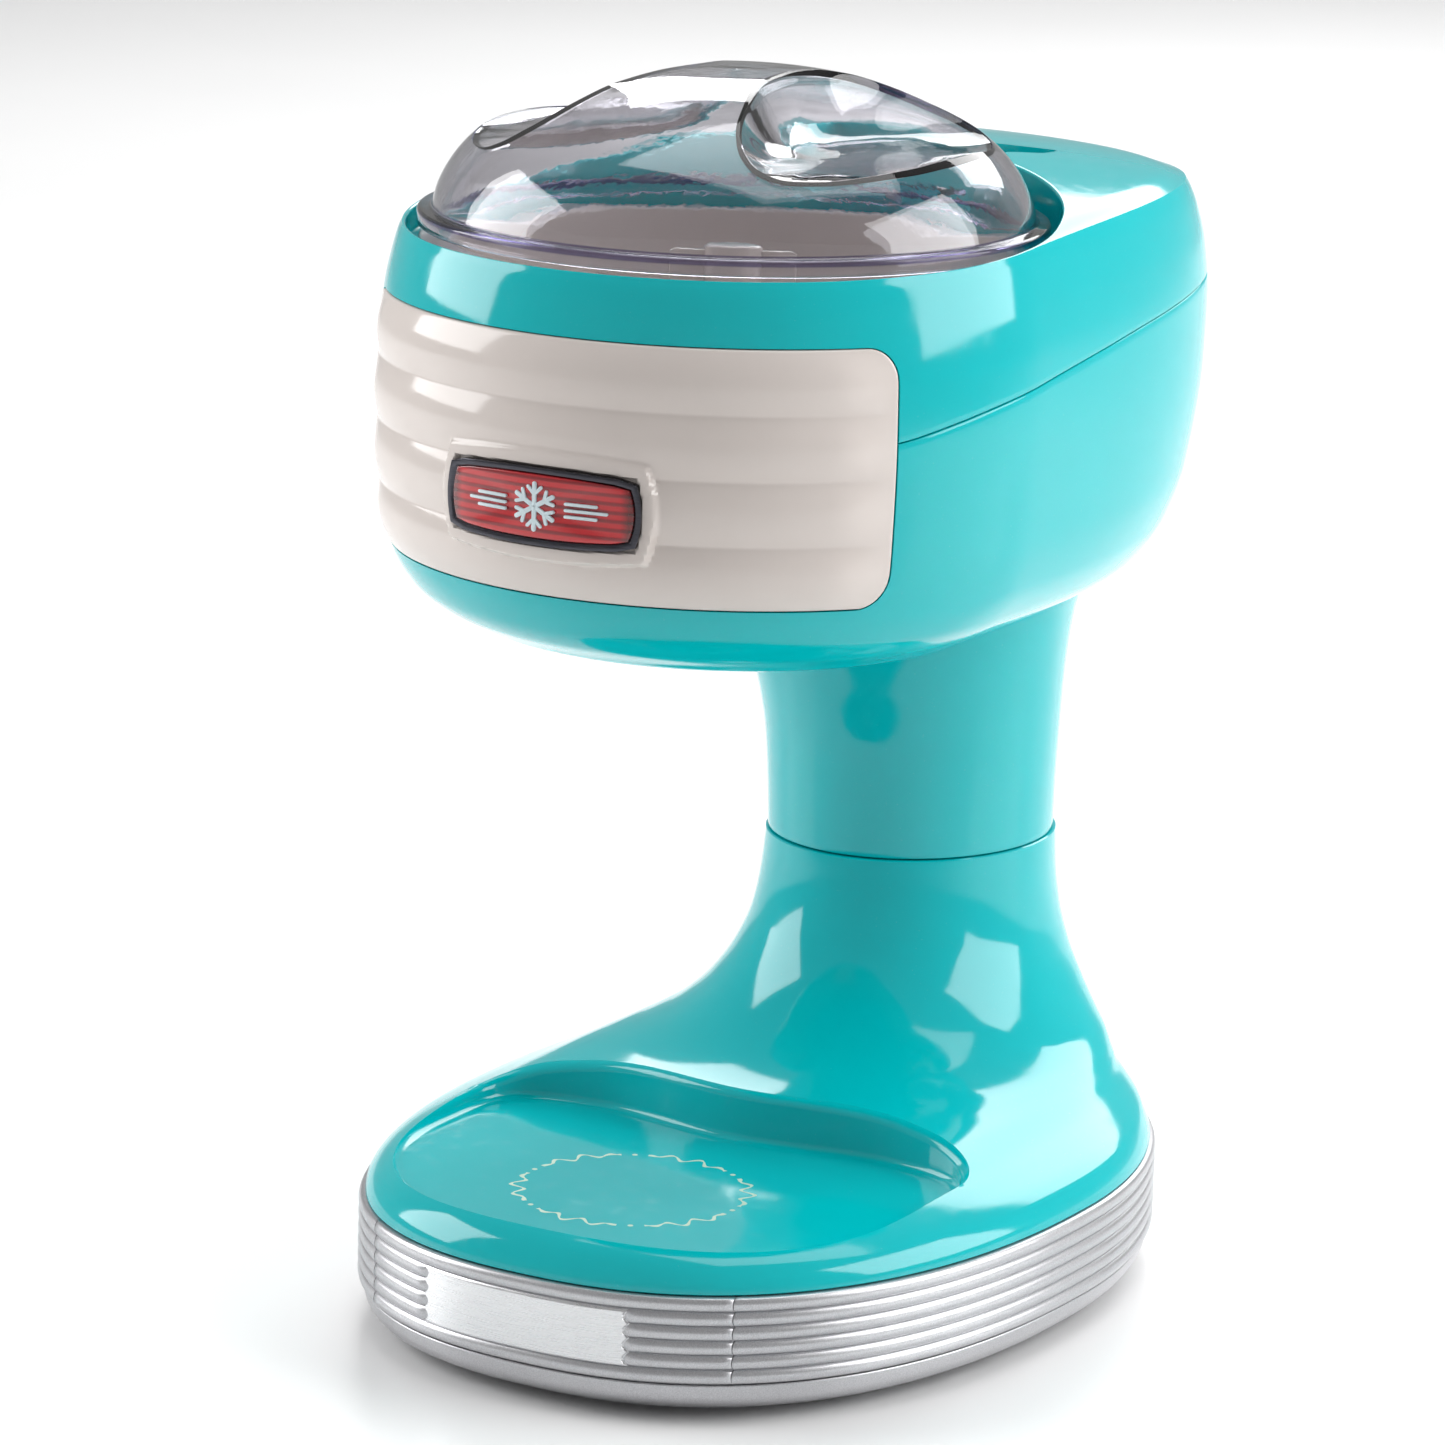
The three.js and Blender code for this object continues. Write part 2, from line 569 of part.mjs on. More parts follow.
function makeBladePlate() {
  const plate = block([-24, -62, 204.6], [24, -37, 206.7]);
  const slot = block([-6, BLADE_WINDOW.far + 1, 200], [6, BLADE_WINDOW.near - 1, 210]);
  const holes = BOTH_SIDES.map((side) => cylinder(1.6, 200, 210, side * BLADE_SCREWS.x, BLADE_SCREWS.y, 8));
  return cut(plate, slot, ...holes);
}

function makeShavingBlade() {
  const shape = new THREE.Shape();
  shape.moveTo(-5.4, 206);
  shape.lineTo(-4.2, 205);
  shape.lineTo(4.4, 209.1);
  shape.lineTo(3.6, 209.4);
  const length = BLADE_WINDOW.near - BLADE_WINDOW.far - 4;
  return frontPrism(shape, BLADE_WINDOW.far + 2, BLADE_WINDOW.far + 2 + length);
}

function makeBladeScrew() {
  return join(cylinder(2.6, 203, 204.3, 0, 0, 12), cylinder(1.2, 204, 207.6, 0, 0, 12));
}

function rectangleRing(halfX, near, far, z) {
  const corners = [[-halfX, far], [halfX, far], [halfX, near], [-halfX, near]];
  return corners.map(([x, y]) => new THREE.Vector3(x, y, z));
}

function chuteSolid(grow, extra) {
  return loft([
    rectangleRing(17 + grow, -38 + grow, -56 - grow, CHUTE.bottom - extra),
    rectangleRing(17 + grow, -38 + grow, -56 - grow, 184),
    rectangleRing(14.5 + grow, -37.6 + grow, -61 - grow, CHUTE.top + extra),
  ]);
}

function makeIceChute() {
  return cut(chuteSolid(0, 0), chuteSolid(-CHUTE.wall, 1));
}

// ---------------------------------------------------------------- gear train and motor

// A spur gear outline with one tooth centred at firstTooth (radians).
function gearSolid(teeth, bottom, top, firstTooth) {
  const pitchRadius = (GEAR_MODULE * teeth) / 2;
  const pitchAngle = (2 * Math.PI) / teeth;
  const toothHalf = pitchAngle / 4 - 0.28 / pitchRadius;
  const corners = [[-1.45, -1.15], [-0.55, 0.8], [0.55, 0.8], [1.45, -1.15]];
  const points = [];
  for (let tooth = 0; tooth < teeth; tooth += 1) {
    for (const [side, height] of corners) {
      const angle = firstTooth + tooth * pitchAngle + side * toothHalf;
      const radius = pitchRadius + height * GEAR_MODULE;
      points.push(new THREE.Vector2(radius * Math.cos(angle), radius * Math.sin(angle)));
    }
  }
  const shape = new THREE.Shape(points);
  const geometry = new THREE.ExtrudeGeometry(shape, { depth: top - bottom, bevelEnabled: false });
  geometry.translate(0, 0, bottom);
  return toSolid(geometry);
}

const TOWARDS_REAR = Math.PI / 2;
const TOWARDS_FRONT = -Math.PI / 2;

function makeOutputGear() {
  const gear = gearSolid(TEETH.output, LOW_GEARS.bottom, LOW_GEARS.top, TOWARDS_REAR);
  return cut(gear, cylinder(SHAFT_RADIUS + GAP, 180, 200));
}

function makeCompoundGear() {
  const gapAhead = TOWARDS_FRONT + Math.PI / TEETH.compoundSmall;
  const small = gearSolid(TEETH.compoundSmall, LOW_GEARS.bottom, HIGH_GEARS.bottom + 0.5, gapAhead);
  const large = gearSolid(TEETH.compoundLarge, HIGH_GEARS.bottom, HIGH_GEARS.top, TOWARDS_REAR);
  return cut(join(small, large), cylinder(COMPOUND_PIN.radius + GAP, 180, 210, 0, 0, 20));
}

function makeMotorPinion() {
  const gapAhead = TOWARDS_FRONT + Math.PI / TEETH.pinion;
  const gear = gearSolid(TEETH.pinion, HIGH_GEARS.bottom, HIGH_GEARS.top, gapAhead);
  return cut(gear, cylinder(MOTOR.shaftRadius + GAP, 180, 210, 0, 0, 20));
}

function gearboxFootprint(grow, bottom, top) {
  return join(
    cylinder(33.4 + grow, bottom, top, 0, 0, 28),
    cylinder(39.4 + grow, bottom, top, 0, COMPOUND_Y, 28),
    cylinder(16 + grow, bottom, top, 0, MOTOR_Y, 20),
  );
}

function makeGearboxBase() {
  const body = gearboxFootprint(GEARBOX.wall - 0.2, GEARBOX.bottom, GEARBOX.wallTop);
  const inside = gearboxFootprint(-0.2, GEARBOX.bottom + GEARBOX.floor, GEARBOX.wallTop + 5);
  return cut(body, inside, cylinder(COMPOUND_PIN.radius + GAP, 170, 190, 0, COMPOUND_Y, 20));
}

function makeGearboxCover() {
  const plate = gearboxFootprint(GEARBOX.wall - 0.2, GEARBOX.wallTop + GAP, GEARBOX.coverTop);
  return cut(
    plate,
    cylinder(OUTPUT_BUSH.radius + GAP, 190, 220),
    cylinder(COMPOUND_PIN.radius + GAP, 190, 220, 0, COMPOUND_Y, 20),
    cylinder(6, 190, 220, 0, MOTOR_Y, 20),
    block([-30, -60, 190], [30, -34, 220]),
  );
}

function makeDriveShaft() {
  return cylinder(SHAFT_RADIUS, SHAFT_ENDS.bottom, SHAFT_ENDS.top, 0, 0, 20);
}

function makeOutputBush() {
  return tube(OUTPUT_BUSH.radius, SHAFT_RADIUS + 0.1, OUTPUT_BUSH.bottom, OUTPUT_BUSH.top, 0, 0, 24);
}

function makeCompoundPin() {
  return cylinder(COMPOUND_PIN.radius, COMPOUND_PIN.bottom, COMPOUND_PIN.top, 0, 0, 20);
}

function makeMotorRotor() {
  return join(
    cylinder(MOTOR.shaftRadius, 193, MOTOR.top - 4, 0, 0, 20),
    cylinder(13.5, 214, 233, 0, 0, 20),
    cylinder(7, 233, 238, 0, 0, 16),
  );
}

function makeMotorCan() {
  const [bottom, wall] = [MOTOR.bottom + MOTOR.bell + GAP, 1.6];
  return cut(
    cylinder(MOTOR.radius, bottom, MOTOR.top, 0, 0, 32),
    cylinder(MOTOR.radius - wall, bottom - 1, MOTOR.top - wall),
  );
}

function makeMotorBell() {
  return cut(
    cylinder(MOTOR.radius, MOTOR.bottom, MOTOR.bottom + MOTOR.bell),
    cylinder(MOTOR.bushRadius + GAP, 190, 220, 0, 0, 20),
  );
}

function makeMotorBush() {
  const [bottom, top] = [MOTOR.bottom + GAP, MOTOR.bottom + MOTOR.bell + 1.5];
  return tube(MOTOR.bushRadius, MOTOR.shaftRadius + 0.1, bottom, top, 0, 0, 20);
}

function makeImpeller() {
  const { hubRadius, bottom, top, finTop, finHalf, paddleTop, paddleHalf, turn } = IMPELLER;
  const [finSide, paddleSide] = [IMPELLER.finThickness / 2, IMPELLER.paddleThickness / 2];
  const hub = cylinder(hubRadius, bottom, top, 0, 0, 28);
  const fins = block([-finHalf, -finSide, bottom], [finHalf, finSide, finTop]);
  const paddles = block([-paddleHalf, -paddleSide, bottom], [paddleHalf, paddleSide, paddleTop]);
  const socket = cylinder(SHAFT_RADIUS + GAP, bottom - 1, 217, 0, 0, 24);
  return cut(join(hub, fins, paddles), socket).rotate([0, 0, turn]);
}

// ---------------------------------------------------------------- lid and its interlock

// The dome grown by offset: a flattened cap with a finger scoop on each side of a ridge along Y.
function domeSolid(offset) {
  const cap = LID.domeProfile.map(([r, z]) => [Math.max(0, r + offset * (r / LID.domeRadius)), z + offset]);
  const dome = turned([[0, LID.seat - 4], [LID.domeRadius + offset, LID.seat - 4], ...cap], SIDES);
  const scoops = BOTH_SIDES.map((side) => {
    const tool = new THREE.SphereGeometry(1, 20, 12);
    tool.scale(SCOOP.halfX - offset, SCOOP.halfY - offset, SCOOP.halfZ - offset);
    tool.rotateY(side * SCOOP.tilt);
    tool.translate(side * SCOOP.x, SCOOP.y, SCOOP.z);
    return toSolid(tool);
  });
  return cut(dome, ...scoops);
}

function makeLid() {
  const innerRadius = LID.domeRadius - LID.wall;
  const flange = tube(LID.flangeRadius, innerRadius - 2, LID.seat, LID.flangeTop, 0, 0, SIDES);
  const below = block([-90, -90, 250], [90, 90, LID.seat]);
  const top = TONGUE.bottom + TONGUE.thickness;
  const tongue = block([-TONGUE.half, 66, TONGUE.bottom], [TONGUE.half, TONGUE.rearY, top]);
  return cut(join(domeSolid(0), flange, tongue), domeSolid(-LID.wall), below);
}

function makePlunger() {
  return join(
    cylinder(PLUNGER.radius, PLUNGER.bottom, TONGUE.bottom - GAP, 0, 0, 20),
    cylinder(5, PLUNGER.collarBottom, PLUNGER.collarTop, 0, 0, 20),
  );
}

class Helix extends THREE.Curve {
  constructor(radius, bottom, top, turns) {
    super();
    Object.assign(this, { radius, bottom, top, turns });
  }

  getPoint(t, target = new THREE.Vector3()) {
    const angle = 2 * Math.PI * this.turns * t;
    const z = this.bottom + (this.top - this.bottom) * t;
    return target.set(this.radius * Math.cos(angle), this.radius * Math.sin(angle), z);
  }
}

function makePlungerSpring() {
  const wire = new THREE.Shape();
  wire.absarc(0, 0, 0.45, 0, 2 * Math.PI);
  const path = new Helix(3.7, SWITCH.top + 0.8, PLUNGER.collarBottom - 0.8, 3);
  return toSolid(new THREE.ExtrudeGeometry(wire, { steps: 27, extrudePath: path, curveSegments: 2 }));
}

function makeMicroswitch() {
  const { bottom, top, length, width } = SWITCH;
  return join(
    block([-length / 2, -width / 2, bottom], [length / 2, width / 2, top]),
    cylinder(1.4, top - 1, PLUNGER.bottom - PLUNGER.travel - GAP, 0, 0, 12),
  );
}

function makeSwitchBracket() {
  const { half, top, thickness, screwX } = BRACKET;
  const plate = block([-half, PLUNGER.y - 4.5, top - thickness], [half, PLUNGER.y + 4.5, top]);
  return cut(plate, ...BOTH_SIDES.map((side) => cylinder(1.6, 240, 260, side * screwX, PLUNGER.y, 8)));
}

function makeBracketScrew() {
  const seat = BRACKET.top - BRACKET.thickness - GAP;
  return join(cylinder(2.8, seat - 2, seat, 0, 0, 12), cylinder(1.2, seat - 1, 256, 0, 0, 8));
}

// ---------------------------------------------------------------- assembly

const machine = new THREE.Group();
machine.position.y = -FOOTPRINT_MIDDLE_Y;

function place(name, solid, material, x = 0, y = 0, z = 0) {
  const mesh = new THREE.Mesh(fromSolid(solid), material);
  mesh.name = name;
  mesh.position.set(x, y, z);
  machine.add(mesh);
  return mesh;
}

place("base_pan", makeBasePan(), SILVER);
place("trim_ring", makeTrimRing(), SILVER);
place("nameplate", makeNameplate(), SATIN);
place("base_cover", makeBaseCover(), TURQUOISE);
[[-1, FOOT.frontY], [1, FOOT.frontY], [-1, FOOT.rearY], [1, FOOT.rearY]].forEach(([side, y], i) => {
  place(`foot_${i + 1}`, cylinder(FOOT.radius, 0, FOOT.height, 0, 0, 16), BLACK, side * FOOT.x, y);
});
SCREW_PLACES.forEach(([x, y], i) => place(`base_screw_${i + 1}`, makeBaseScrew(), STEEL, x, y));
const gland = place("cord_gland", makeGland(), BLACK, 0, BASE.rear, GLAND.z);
gland.rotation.x = -Math.PI / 2;

place("column_sleeve", makeColumnSleeve(), TURQUOISE);
place("neck_spigot", makeNeckSpigot(), BLACK);

const shell = headShell();
place("head_lower_shell", makeHeadLowerShell(shell), TURQUOISE);
place("head_upper_shell", makeHeadUpperShell(shell), TURQUOISE);
BOTH_SIDES.forEach((side, i) => {
  place(`head_screw_${i + 1}`, makeHeadScrew(), STEEL, side * HEAD_SCREWS.x, HEAD_SCREWS.y);
  place(`column_screw_${i + 1}`, makeColumnScrew(), STEEL, side * COLUMN_SCREWS.x, COLUMN_SCREWS.y);
  place(`bracket_screw_${i + 1}`, makeBracketScrew(), STEEL, side * BRACKET.screwX, PLUNGER.y);
  place(`blade_screw_${i + 1}`, makeBladeScrew(), STEEL, side * BLADE_SCREWS.x, BLADE_SCREWS.y);
});
place("front_panel", makeFrontPanel(), CREAM);
place("badge_bezel", makeBadgeBezel(), DARK_CHROME);
place("badge_plate", makeBadgePlate(), RED);

place("hopper", makeHopper(), CREAM);
place("blade_plate", makeBladePlate(), STEEL);
place("shaving_blade", makeShavingBlade(), STEEL);
place("ice_chute", makeIceChute(), CREAM);
place("impeller", makeImpeller(), CREAM);

place("gearbox_base", makeGearboxBase(), ACETAL);
place("gearbox_cover", makeGearboxCover(), ACETAL);
place("output_gear", makeOutputGear(), ACETAL);
place("drive_shaft", makeDriveShaft(), STEEL);
place("output_bush", makeOutputBush(), BRONZE);
place("compound_gear", makeCompoundGear(), ACETAL, 0, COMPOUND_Y);
place("compound_pin", makeCompoundPin(), STEEL, 0, COMPOUND_Y);
place("motor_pinion", makeMotorPinion(), BRONZE, 0, MOTOR_Y);
place("motor_rotor", makeMotorRotor(), STEEL, 0, MOTOR_Y);
place("motor_can", makeMotorCan(), STEEL, 0, MOTOR_Y);
place("motor_bell", makeMotorBell(), STEEL, 0, MOTOR_Y);
place("motor_bush", makeMotorBush(), BRONZE, 0, MOTOR_Y);

place("interlock_plunger", makePlunger(), ACETAL, 0, PLUNGER.y);
place("plunger_spring", makePlungerSpring(), STEEL, 0, PLUNGER.y);
place("microswitch", makeMicroswitch(), BLACK, 0, PLUNGER.y);
place("switch_bracket", makeSwitchBracket(), STEEL);
place("lid", makeLid(), SMOKE);

const part = new THREE.Group();
part.add(machine);

export default part;
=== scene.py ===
"""A counter-top ice shaver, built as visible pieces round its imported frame.

The classes hold their sizes in millimetres about the hopper's upright axis, with z = 0 on the table
and the front facing -Y. `to_metres` moves such points to the row frame, whose origin is the middle of
the footprint.
"""

import json
import logging
import math
from dataclasses import dataclass, field
from enum import Enum
from typing import Optional, Sequence

import bmesh
import bpy
import numpy as np
from mathutils import Matrix, Vector


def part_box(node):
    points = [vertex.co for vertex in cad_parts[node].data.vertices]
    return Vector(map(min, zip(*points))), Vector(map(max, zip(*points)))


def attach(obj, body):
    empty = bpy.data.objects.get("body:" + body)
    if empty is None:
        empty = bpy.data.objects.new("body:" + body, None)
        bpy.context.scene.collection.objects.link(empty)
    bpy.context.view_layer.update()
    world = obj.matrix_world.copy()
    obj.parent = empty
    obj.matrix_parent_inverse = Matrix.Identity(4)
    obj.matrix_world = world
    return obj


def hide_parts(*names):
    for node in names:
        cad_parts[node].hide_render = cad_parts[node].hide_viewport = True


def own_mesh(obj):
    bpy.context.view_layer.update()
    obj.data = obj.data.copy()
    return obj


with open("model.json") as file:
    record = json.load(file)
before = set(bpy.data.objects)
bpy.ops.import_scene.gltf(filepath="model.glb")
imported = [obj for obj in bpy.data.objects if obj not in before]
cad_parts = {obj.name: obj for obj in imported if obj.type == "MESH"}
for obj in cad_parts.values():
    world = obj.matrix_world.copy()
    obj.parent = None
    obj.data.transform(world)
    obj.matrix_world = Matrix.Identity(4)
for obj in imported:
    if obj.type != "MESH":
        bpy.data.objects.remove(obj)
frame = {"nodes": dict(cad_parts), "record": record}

LOG = logging.getLogger("ice_shaver")
MM = 0.001
SIDES = 224

Array = np.ndarray
Piece = bpy.types.Object


class Body(str, Enum):
    """The moving groups that pieces ride on."""

    HOUSING = "housing"
    PLUNGER = "plunger"
    LID = "lid"
    DRIVE = "drive_train"


class Cut(str, Enum):
    """What a boolean does with its tool."""

    TAKE_AWAY = "DIFFERENCE"
    ADD = "UNION"


# ---------------------------------------------------------------- points and curves


def hopper_axis() -> float:
    """Returns the hopper axis's Y in the row frame, in metres."""
    low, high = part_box("hopper")
    return (low.y + high.y) / 2


AXIS_Y = hopper_axis()


def to_metres(points: Array) -> Array:
    """Moves points from millimetres about the hopper axis to the row frame.

    Args:
        points: An array whose last axis is x, y, z in millimetres.

    Returns:
        The same points in metres in the row frame.
    """
    return np.asarray(points, float) * MM + np.array([0.0, AXIS_Y, 0.0])


def smooth_step(value: Array) -> Array:
    """Returns 0 below 0, 1 above 1 and a smooth rise between them."""
    t = np.clip(value, 0.0, 1.0)
    return t * t * (3 - 2 * t)


def monotone(xs: Sequence[float], ys: Sequence[float], at: Array) -> Array:
    """Interpolates smoothly through points without overshoot.

    Args:
        xs: Rising positions.
        ys: A value for each position.
        at: Where to evaluate.

    Returns:
        The interpolated values.
    """
    x, y = np.asarray(xs, float), np.asarray(ys, float)
    step, rise = np.diff(x), np.diff(y)
    slope = rise / step
    inner = np.zeros(len(x))
    same = slope[1:] * slope[:-1] > 0
    harmonic = 2 * slope[1:] * slope[:-1] / np.where(same, slope[1:] + slope[:-1], 1)
    inner[1:-1] = np.where(same, harmonic, 0)
    inner[0], inner[-1] = slope[0], slope[-1]
    at = np.clip(np.asarray(at, float), x[0], x[-1])
    i = np.clip(np.searchsorted(x, at, side="right") - 1, 0, len(x) - 2)
    t = (at - x[i]) / step[i]
    blend = (2 * t**3 - 3 * t**2 + 1) * y[i] + (3 * t**2 - 2 * t**3) * y[i + 1]
    return blend + (t**3 - 2 * t**2 + t) * step[i] * inner[i] + (t**3 - t**2) * step[i] * inner[i + 1]


def rounded(corners: Sequence[tuple[float, float, float]], steps: int = 6) -> Array:
    """Rounds the corners of a polyline with arcs.

    Args:
        corners: Points as (u, v, radius).
        steps: Segments in each arc.

    Returns:
        The rounded polyline as an (n, 2) array, with its two end points kept.
    """
    made = [np.array(corners[0][:2])]
    for before, here, after in zip(corners[:-2], corners[1:-1], corners[2:]):
        p, a, b = (np.array(c[:2], float) for c in (here, before, after))
        ua, ub = (a - p) / np.linalg.norm(a - p), (b - p) / np.linalg.norm(b - p)
        half = math.acos(float(np.clip(ua @ ub, -1, 1))) / 2
        if here[2] <= 0 or abs(half - math.pi / 2) < 1e-3:
            made.append(p)
            continue
        reach = min(here[2] / math.tan(half), np.linalg.norm(a - p) * 0.49, np.linalg.norm(b - p) * 0.49)
        radius = reach * math.tan(half)
        centre = p + (ua + ub) / np.linalg.norm(ua + ub) * radius / math.sin(half)
        start, end = p + ua * reach - centre, p + ub * reach - centre
        for t in np.linspace(0, 1, steps + 1):
            arc = start * (1 - t) + end * t
            made.append(centre + arc / np.linalg.norm(arc) * radius)
    made.append(np.array(corners[-1][:2]))
    return np.array(made)


def turn(count: int = SIDES) -> Array:
    """Returns the angles of a full turn, without its end."""
    return np.arange(count) * (2 * math.pi / count)


def superellipse(angles: Array, half: Array, front: Array, rear: Array, powers: tuple) -> Array:
    """Returns the distance from an outline's middle to its edge.

    Args:
        angles: Directions in radians, with the rear at a quarter turn.
        half: Reach to each side.
        front: Reach to the front.
        rear: Reach to the rear.
        powers: The superellipse powers of the front and the rear.

    Returns:
        The distance for each angle.
    """
    c, s = np.abs(np.cos(angles)), np.abs(np.sin(angles))
    behind = np.sin(angles) > 0
    power = np.where(behind, powers[1], powers[0])
    depth = np.where(behind, rear, front)
    return ((c / half) ** power + (s / depth) ** power) ** (-1 / power)


def level_ring(outline: Array, z: float) -> Array:
    """Lifts a plan outline of (x, y) points to a height."""
    return np.column_stack([outline, np.full(len(outline), z)])


def spread(rings: Sequence[Array]) -> Array:
    """Stacks rings of equal point counts into one (rings, points, 3) array."""
    return np.stack([np.asarray(ring, float) for ring in rings])


# ---------------------------------------------------------------- meshes


def finish_mesh(piece: Piece, sharp_degrees: float = 32.0) -> Piece:
    """Turns the faces outwards and shades them smoothly up to an angle.

    Args:
        piece: The mesh that changes.
        sharp_degrees: Edges sharper than this keep a crease.

    Returns:
        The same mesh.
    """
    form = bmesh.new()
    form.from_mesh(piece.data)
    bmesh.ops.remove_doubles(form, verts=form.verts, dist=1e-7)
    bmesh.ops.recalc_face_normals(form, faces=form.faces)
    form.to_mesh(piece.data)
    form.free()
    piece.data.polygons.foreach_set("use_smooth", [True] * len(piece.data.polygons))
    piece.data.set_sharp_from_angle(angle=math.radians(sharp_degrees))
    return piece


def new_piece(name: str, points: Array, faces: Sequence) -> Piece:
    """Makes a mesh object from points in millimetres.

    Args:
        name: The piece's name.
        points: The corners, in millimetres.
        faces: Each face's corners, by number.

    Returns:
        The mesh object.
    """
    mesh = bpy.data.meshes.new(name)
    mesh.from_pydata(to_metres(points).tolist(), [], faces)
    piece = bpy.data.objects.new(name, mesh)
    bpy.context.scene.collection.objects.link(piece)
    return piece


def loft(name: str, rings: Array, closed: bool = False, sharp_degrees: float = 32.0) -> Piece:
    """Skins a stack of rings.

    Args:
        name: The piece's name.
        rings: A (rings, points, 3) array in millimetres.
        closed: Whether the last ring joins the first, as in a torus. If not, both ends are capped.
        sharp_degrees: Edges sharper than this keep a crease.

    Returns:
        The closed mesh.
    """
    levels, count = rings.shape[:2]
    points = rings.reshape(-1, 3)
    faces = []
    for k in range(levels if closed else levels - 1):
        low, high = k * count, ((k + 1) % levels) * count
        faces += [(low + i, low + (i + 1) % count, high + (i + 1) % count, high + i) for i in range(count)]
    if not closed:
        last, top = (levels - 1) * count, len(points)
        points = np.vstack([points, rings[0].mean(0), rings[-1].mean(0)])
        faces += [(top, (i + 1) % count, i) for i in range(count)]
        faces += [(top + 1, last + i, last + (i + 1) % count) for i in range(count)]
    return finish_mesh(new_piece(name, points, faces), sharp_degrees)


def lathe(name: str, profile: Array, closed: bool, y: float = 0.0, x: float = 0.0,
          sides: int = 160) -> Piece:
    """Turns a profile of (radius, z) about an upright axis.

    Args:
        name: The piece's name.
        profile: Points as (radius, z) in millimetres.
        closed: Whether the profile closes on itself. If not, it starts and ends at the axis.
        y: The axis's y.
        x: The axis's x.
        sides: Points round the axis.

    Returns:
        The closed mesh.
    """
    angles = turn(sides)
    rings = [np.stack([x + r * np.cos(angles), y + r * np.sin(angles), np.full(sides, z)], 1)
             for r, z in profile]
    return loft(name, spread(rings), closed)


def combine(target: Piece, tool: Piece, action: Cut) -> Piece:
    """Joins or cuts a mesh with another and applies the result.

    Args:
        target: The mesh that changes.
        tool: The other mesh, which is removed afterwards.
        action: What happens to the target.

    Returns:
        The changed target.
    """
    modifier = target.modifiers.new("combine", "BOOLEAN")
    modifier.operation, modifier.solver, modifier.object = action.value, "EXACT", tool
    graph = bpy.context.evaluated_depsgraph_get()
    made = bpy.data.meshes.new_from_object(target.evaluated_get(graph))
    target.modifiers.clear()
    target.data = made
    bpy.data.objects.remove(tool)
    return target


def soften(piece: Piece, width: float, segments: int = 3, over_degrees: float = 40.0) -> Piece:
    """Bevels a mesh's sharp edges by a width in millimetres.

    Args:
        piece: The mesh that changes.
        width: The bevel's width in millimetres.
        segments: Segments across the bevel.
        over_degrees: Edges sharper than this are bevelled.

    Returns:
        The same mesh.
    """
    form = bmesh.new()
    form.from_mesh(piece.data)
    limit = math.radians(over_degrees)
    edges = [e for e in form.edges if len(e.link_faces) == 2 and e.calc_face_angle() > limit]
    bmesh.ops.bevel(form, geom=edges, offset=width * MM, segments=segments, profile=0.5, affect="EDGES")
    form.to_mesh(piece.data)
    form.free()
    return finish_mesh(piece)


def block(name: str, low: Sequence[float], high: Sequence[float]) -> Piece:
    """Makes a box between two corners, in millimetres.

    Args:
        name: The piece's name.
        low: The lowest corner.
        high: The highest corner.

    Returns:
        The box.
    """
    (x0, y0, z0), (x1, y1, z1) = low, high
    ring = [(x0, y0), (x1, y0), (x1, y1), (x0, y1)]
    points = [(x, y, z) for z in (z0, z1) for x, y in ring]
    faces = [(3, 2, 1, 0), (4, 5, 6, 7), (0, 1, 5, 4), (1, 2, 6, 5), (2, 3, 7, 6), (3, 0, 4, 7)]
    return new_piece(name, np.array(points), faces)


def prism(name: str, outline: Array, bottom: float, top: float) -> Piece:
    """Raises a plan outline of (x, y) points into an upright prism."""
    rings = [level_ring(outline, z) for z in (bottom, top)]
    return loft(name, spread(rings))


def joined(name: str, pieces: Sequence[Piece]) -> Piece:
    """Joins separate closed meshes into one piece with one name.

    Args:
        name: The piece's name.
        pieces: The meshes, which are removed afterwards.

    Returns:
        The joined mesh.
    """
    form = bmesh.new()
    for piece in pieces:
        form.from_mesh(piece.data)
        bpy.data.objects.remove(piece)
    mesh = bpy.data.meshes.new(name)
    form.to_mesh(mesh)
    form.free()
    piece = bpy.data.objects.new(name, mesh)
    bpy.context.scene.collection.objects.link(piece)
    return finish_mesh(piece)


# ---------------------------------------------------------------- shader graph


class Value:
    """A shader socket that takes part in Python arithmetic."""

    def __init__(self, graph: "Graph", socket: bpy.types.NodeSocket) -> None:
        """Wraps a socket of a graph."""
        self.graph = graph
        self.socket = socket

    def _math(self, operation: str, *operands: object, clamp: bool = False) -> "Value":
        """Adds a Math node over operands that are numbers or values."""
        inputs = dict(enumerate(operands))
        return self.graph.add("ShaderNodeMath", {"operation": operation, "use_clamp": clamp}, inputs)

    def __add__(self, other: object) -> "Value":
        """Returns self + other."""
        return self._math("ADD", self, other)

    __radd__ = __add__

    def __sub__(self, other: object) -> "Value":
        """Returns self - other."""
        return self._math("SUBTRACT", self, other)

    def __rsub__(self, other: object) -> "Value":
        """Returns other - self."""
        return self._math("SUBTRACT", other, self)

    def __mul__(self, other: object) -> "Value":
        """Returns self * other."""
        return self._math("MULTIPLY", self, other)

    __rmul__ = __mul__

    def __truediv__(self, other: object) -> "Value":
        """Returns self / other."""
        return self._math("DIVIDE", self, other)

    def above(self, edge: float, width: float) -> "Value":
        """Returns 0 below an edge and 1 above it, over a soft width."""
        return self._math("MULTIPLY_ADD", self, 1 / width, 0.5 - edge / width, clamp=True)

    def wave(self) -> "Value":
        """Returns the sine of the value."""
        return self._math("SINE", self)


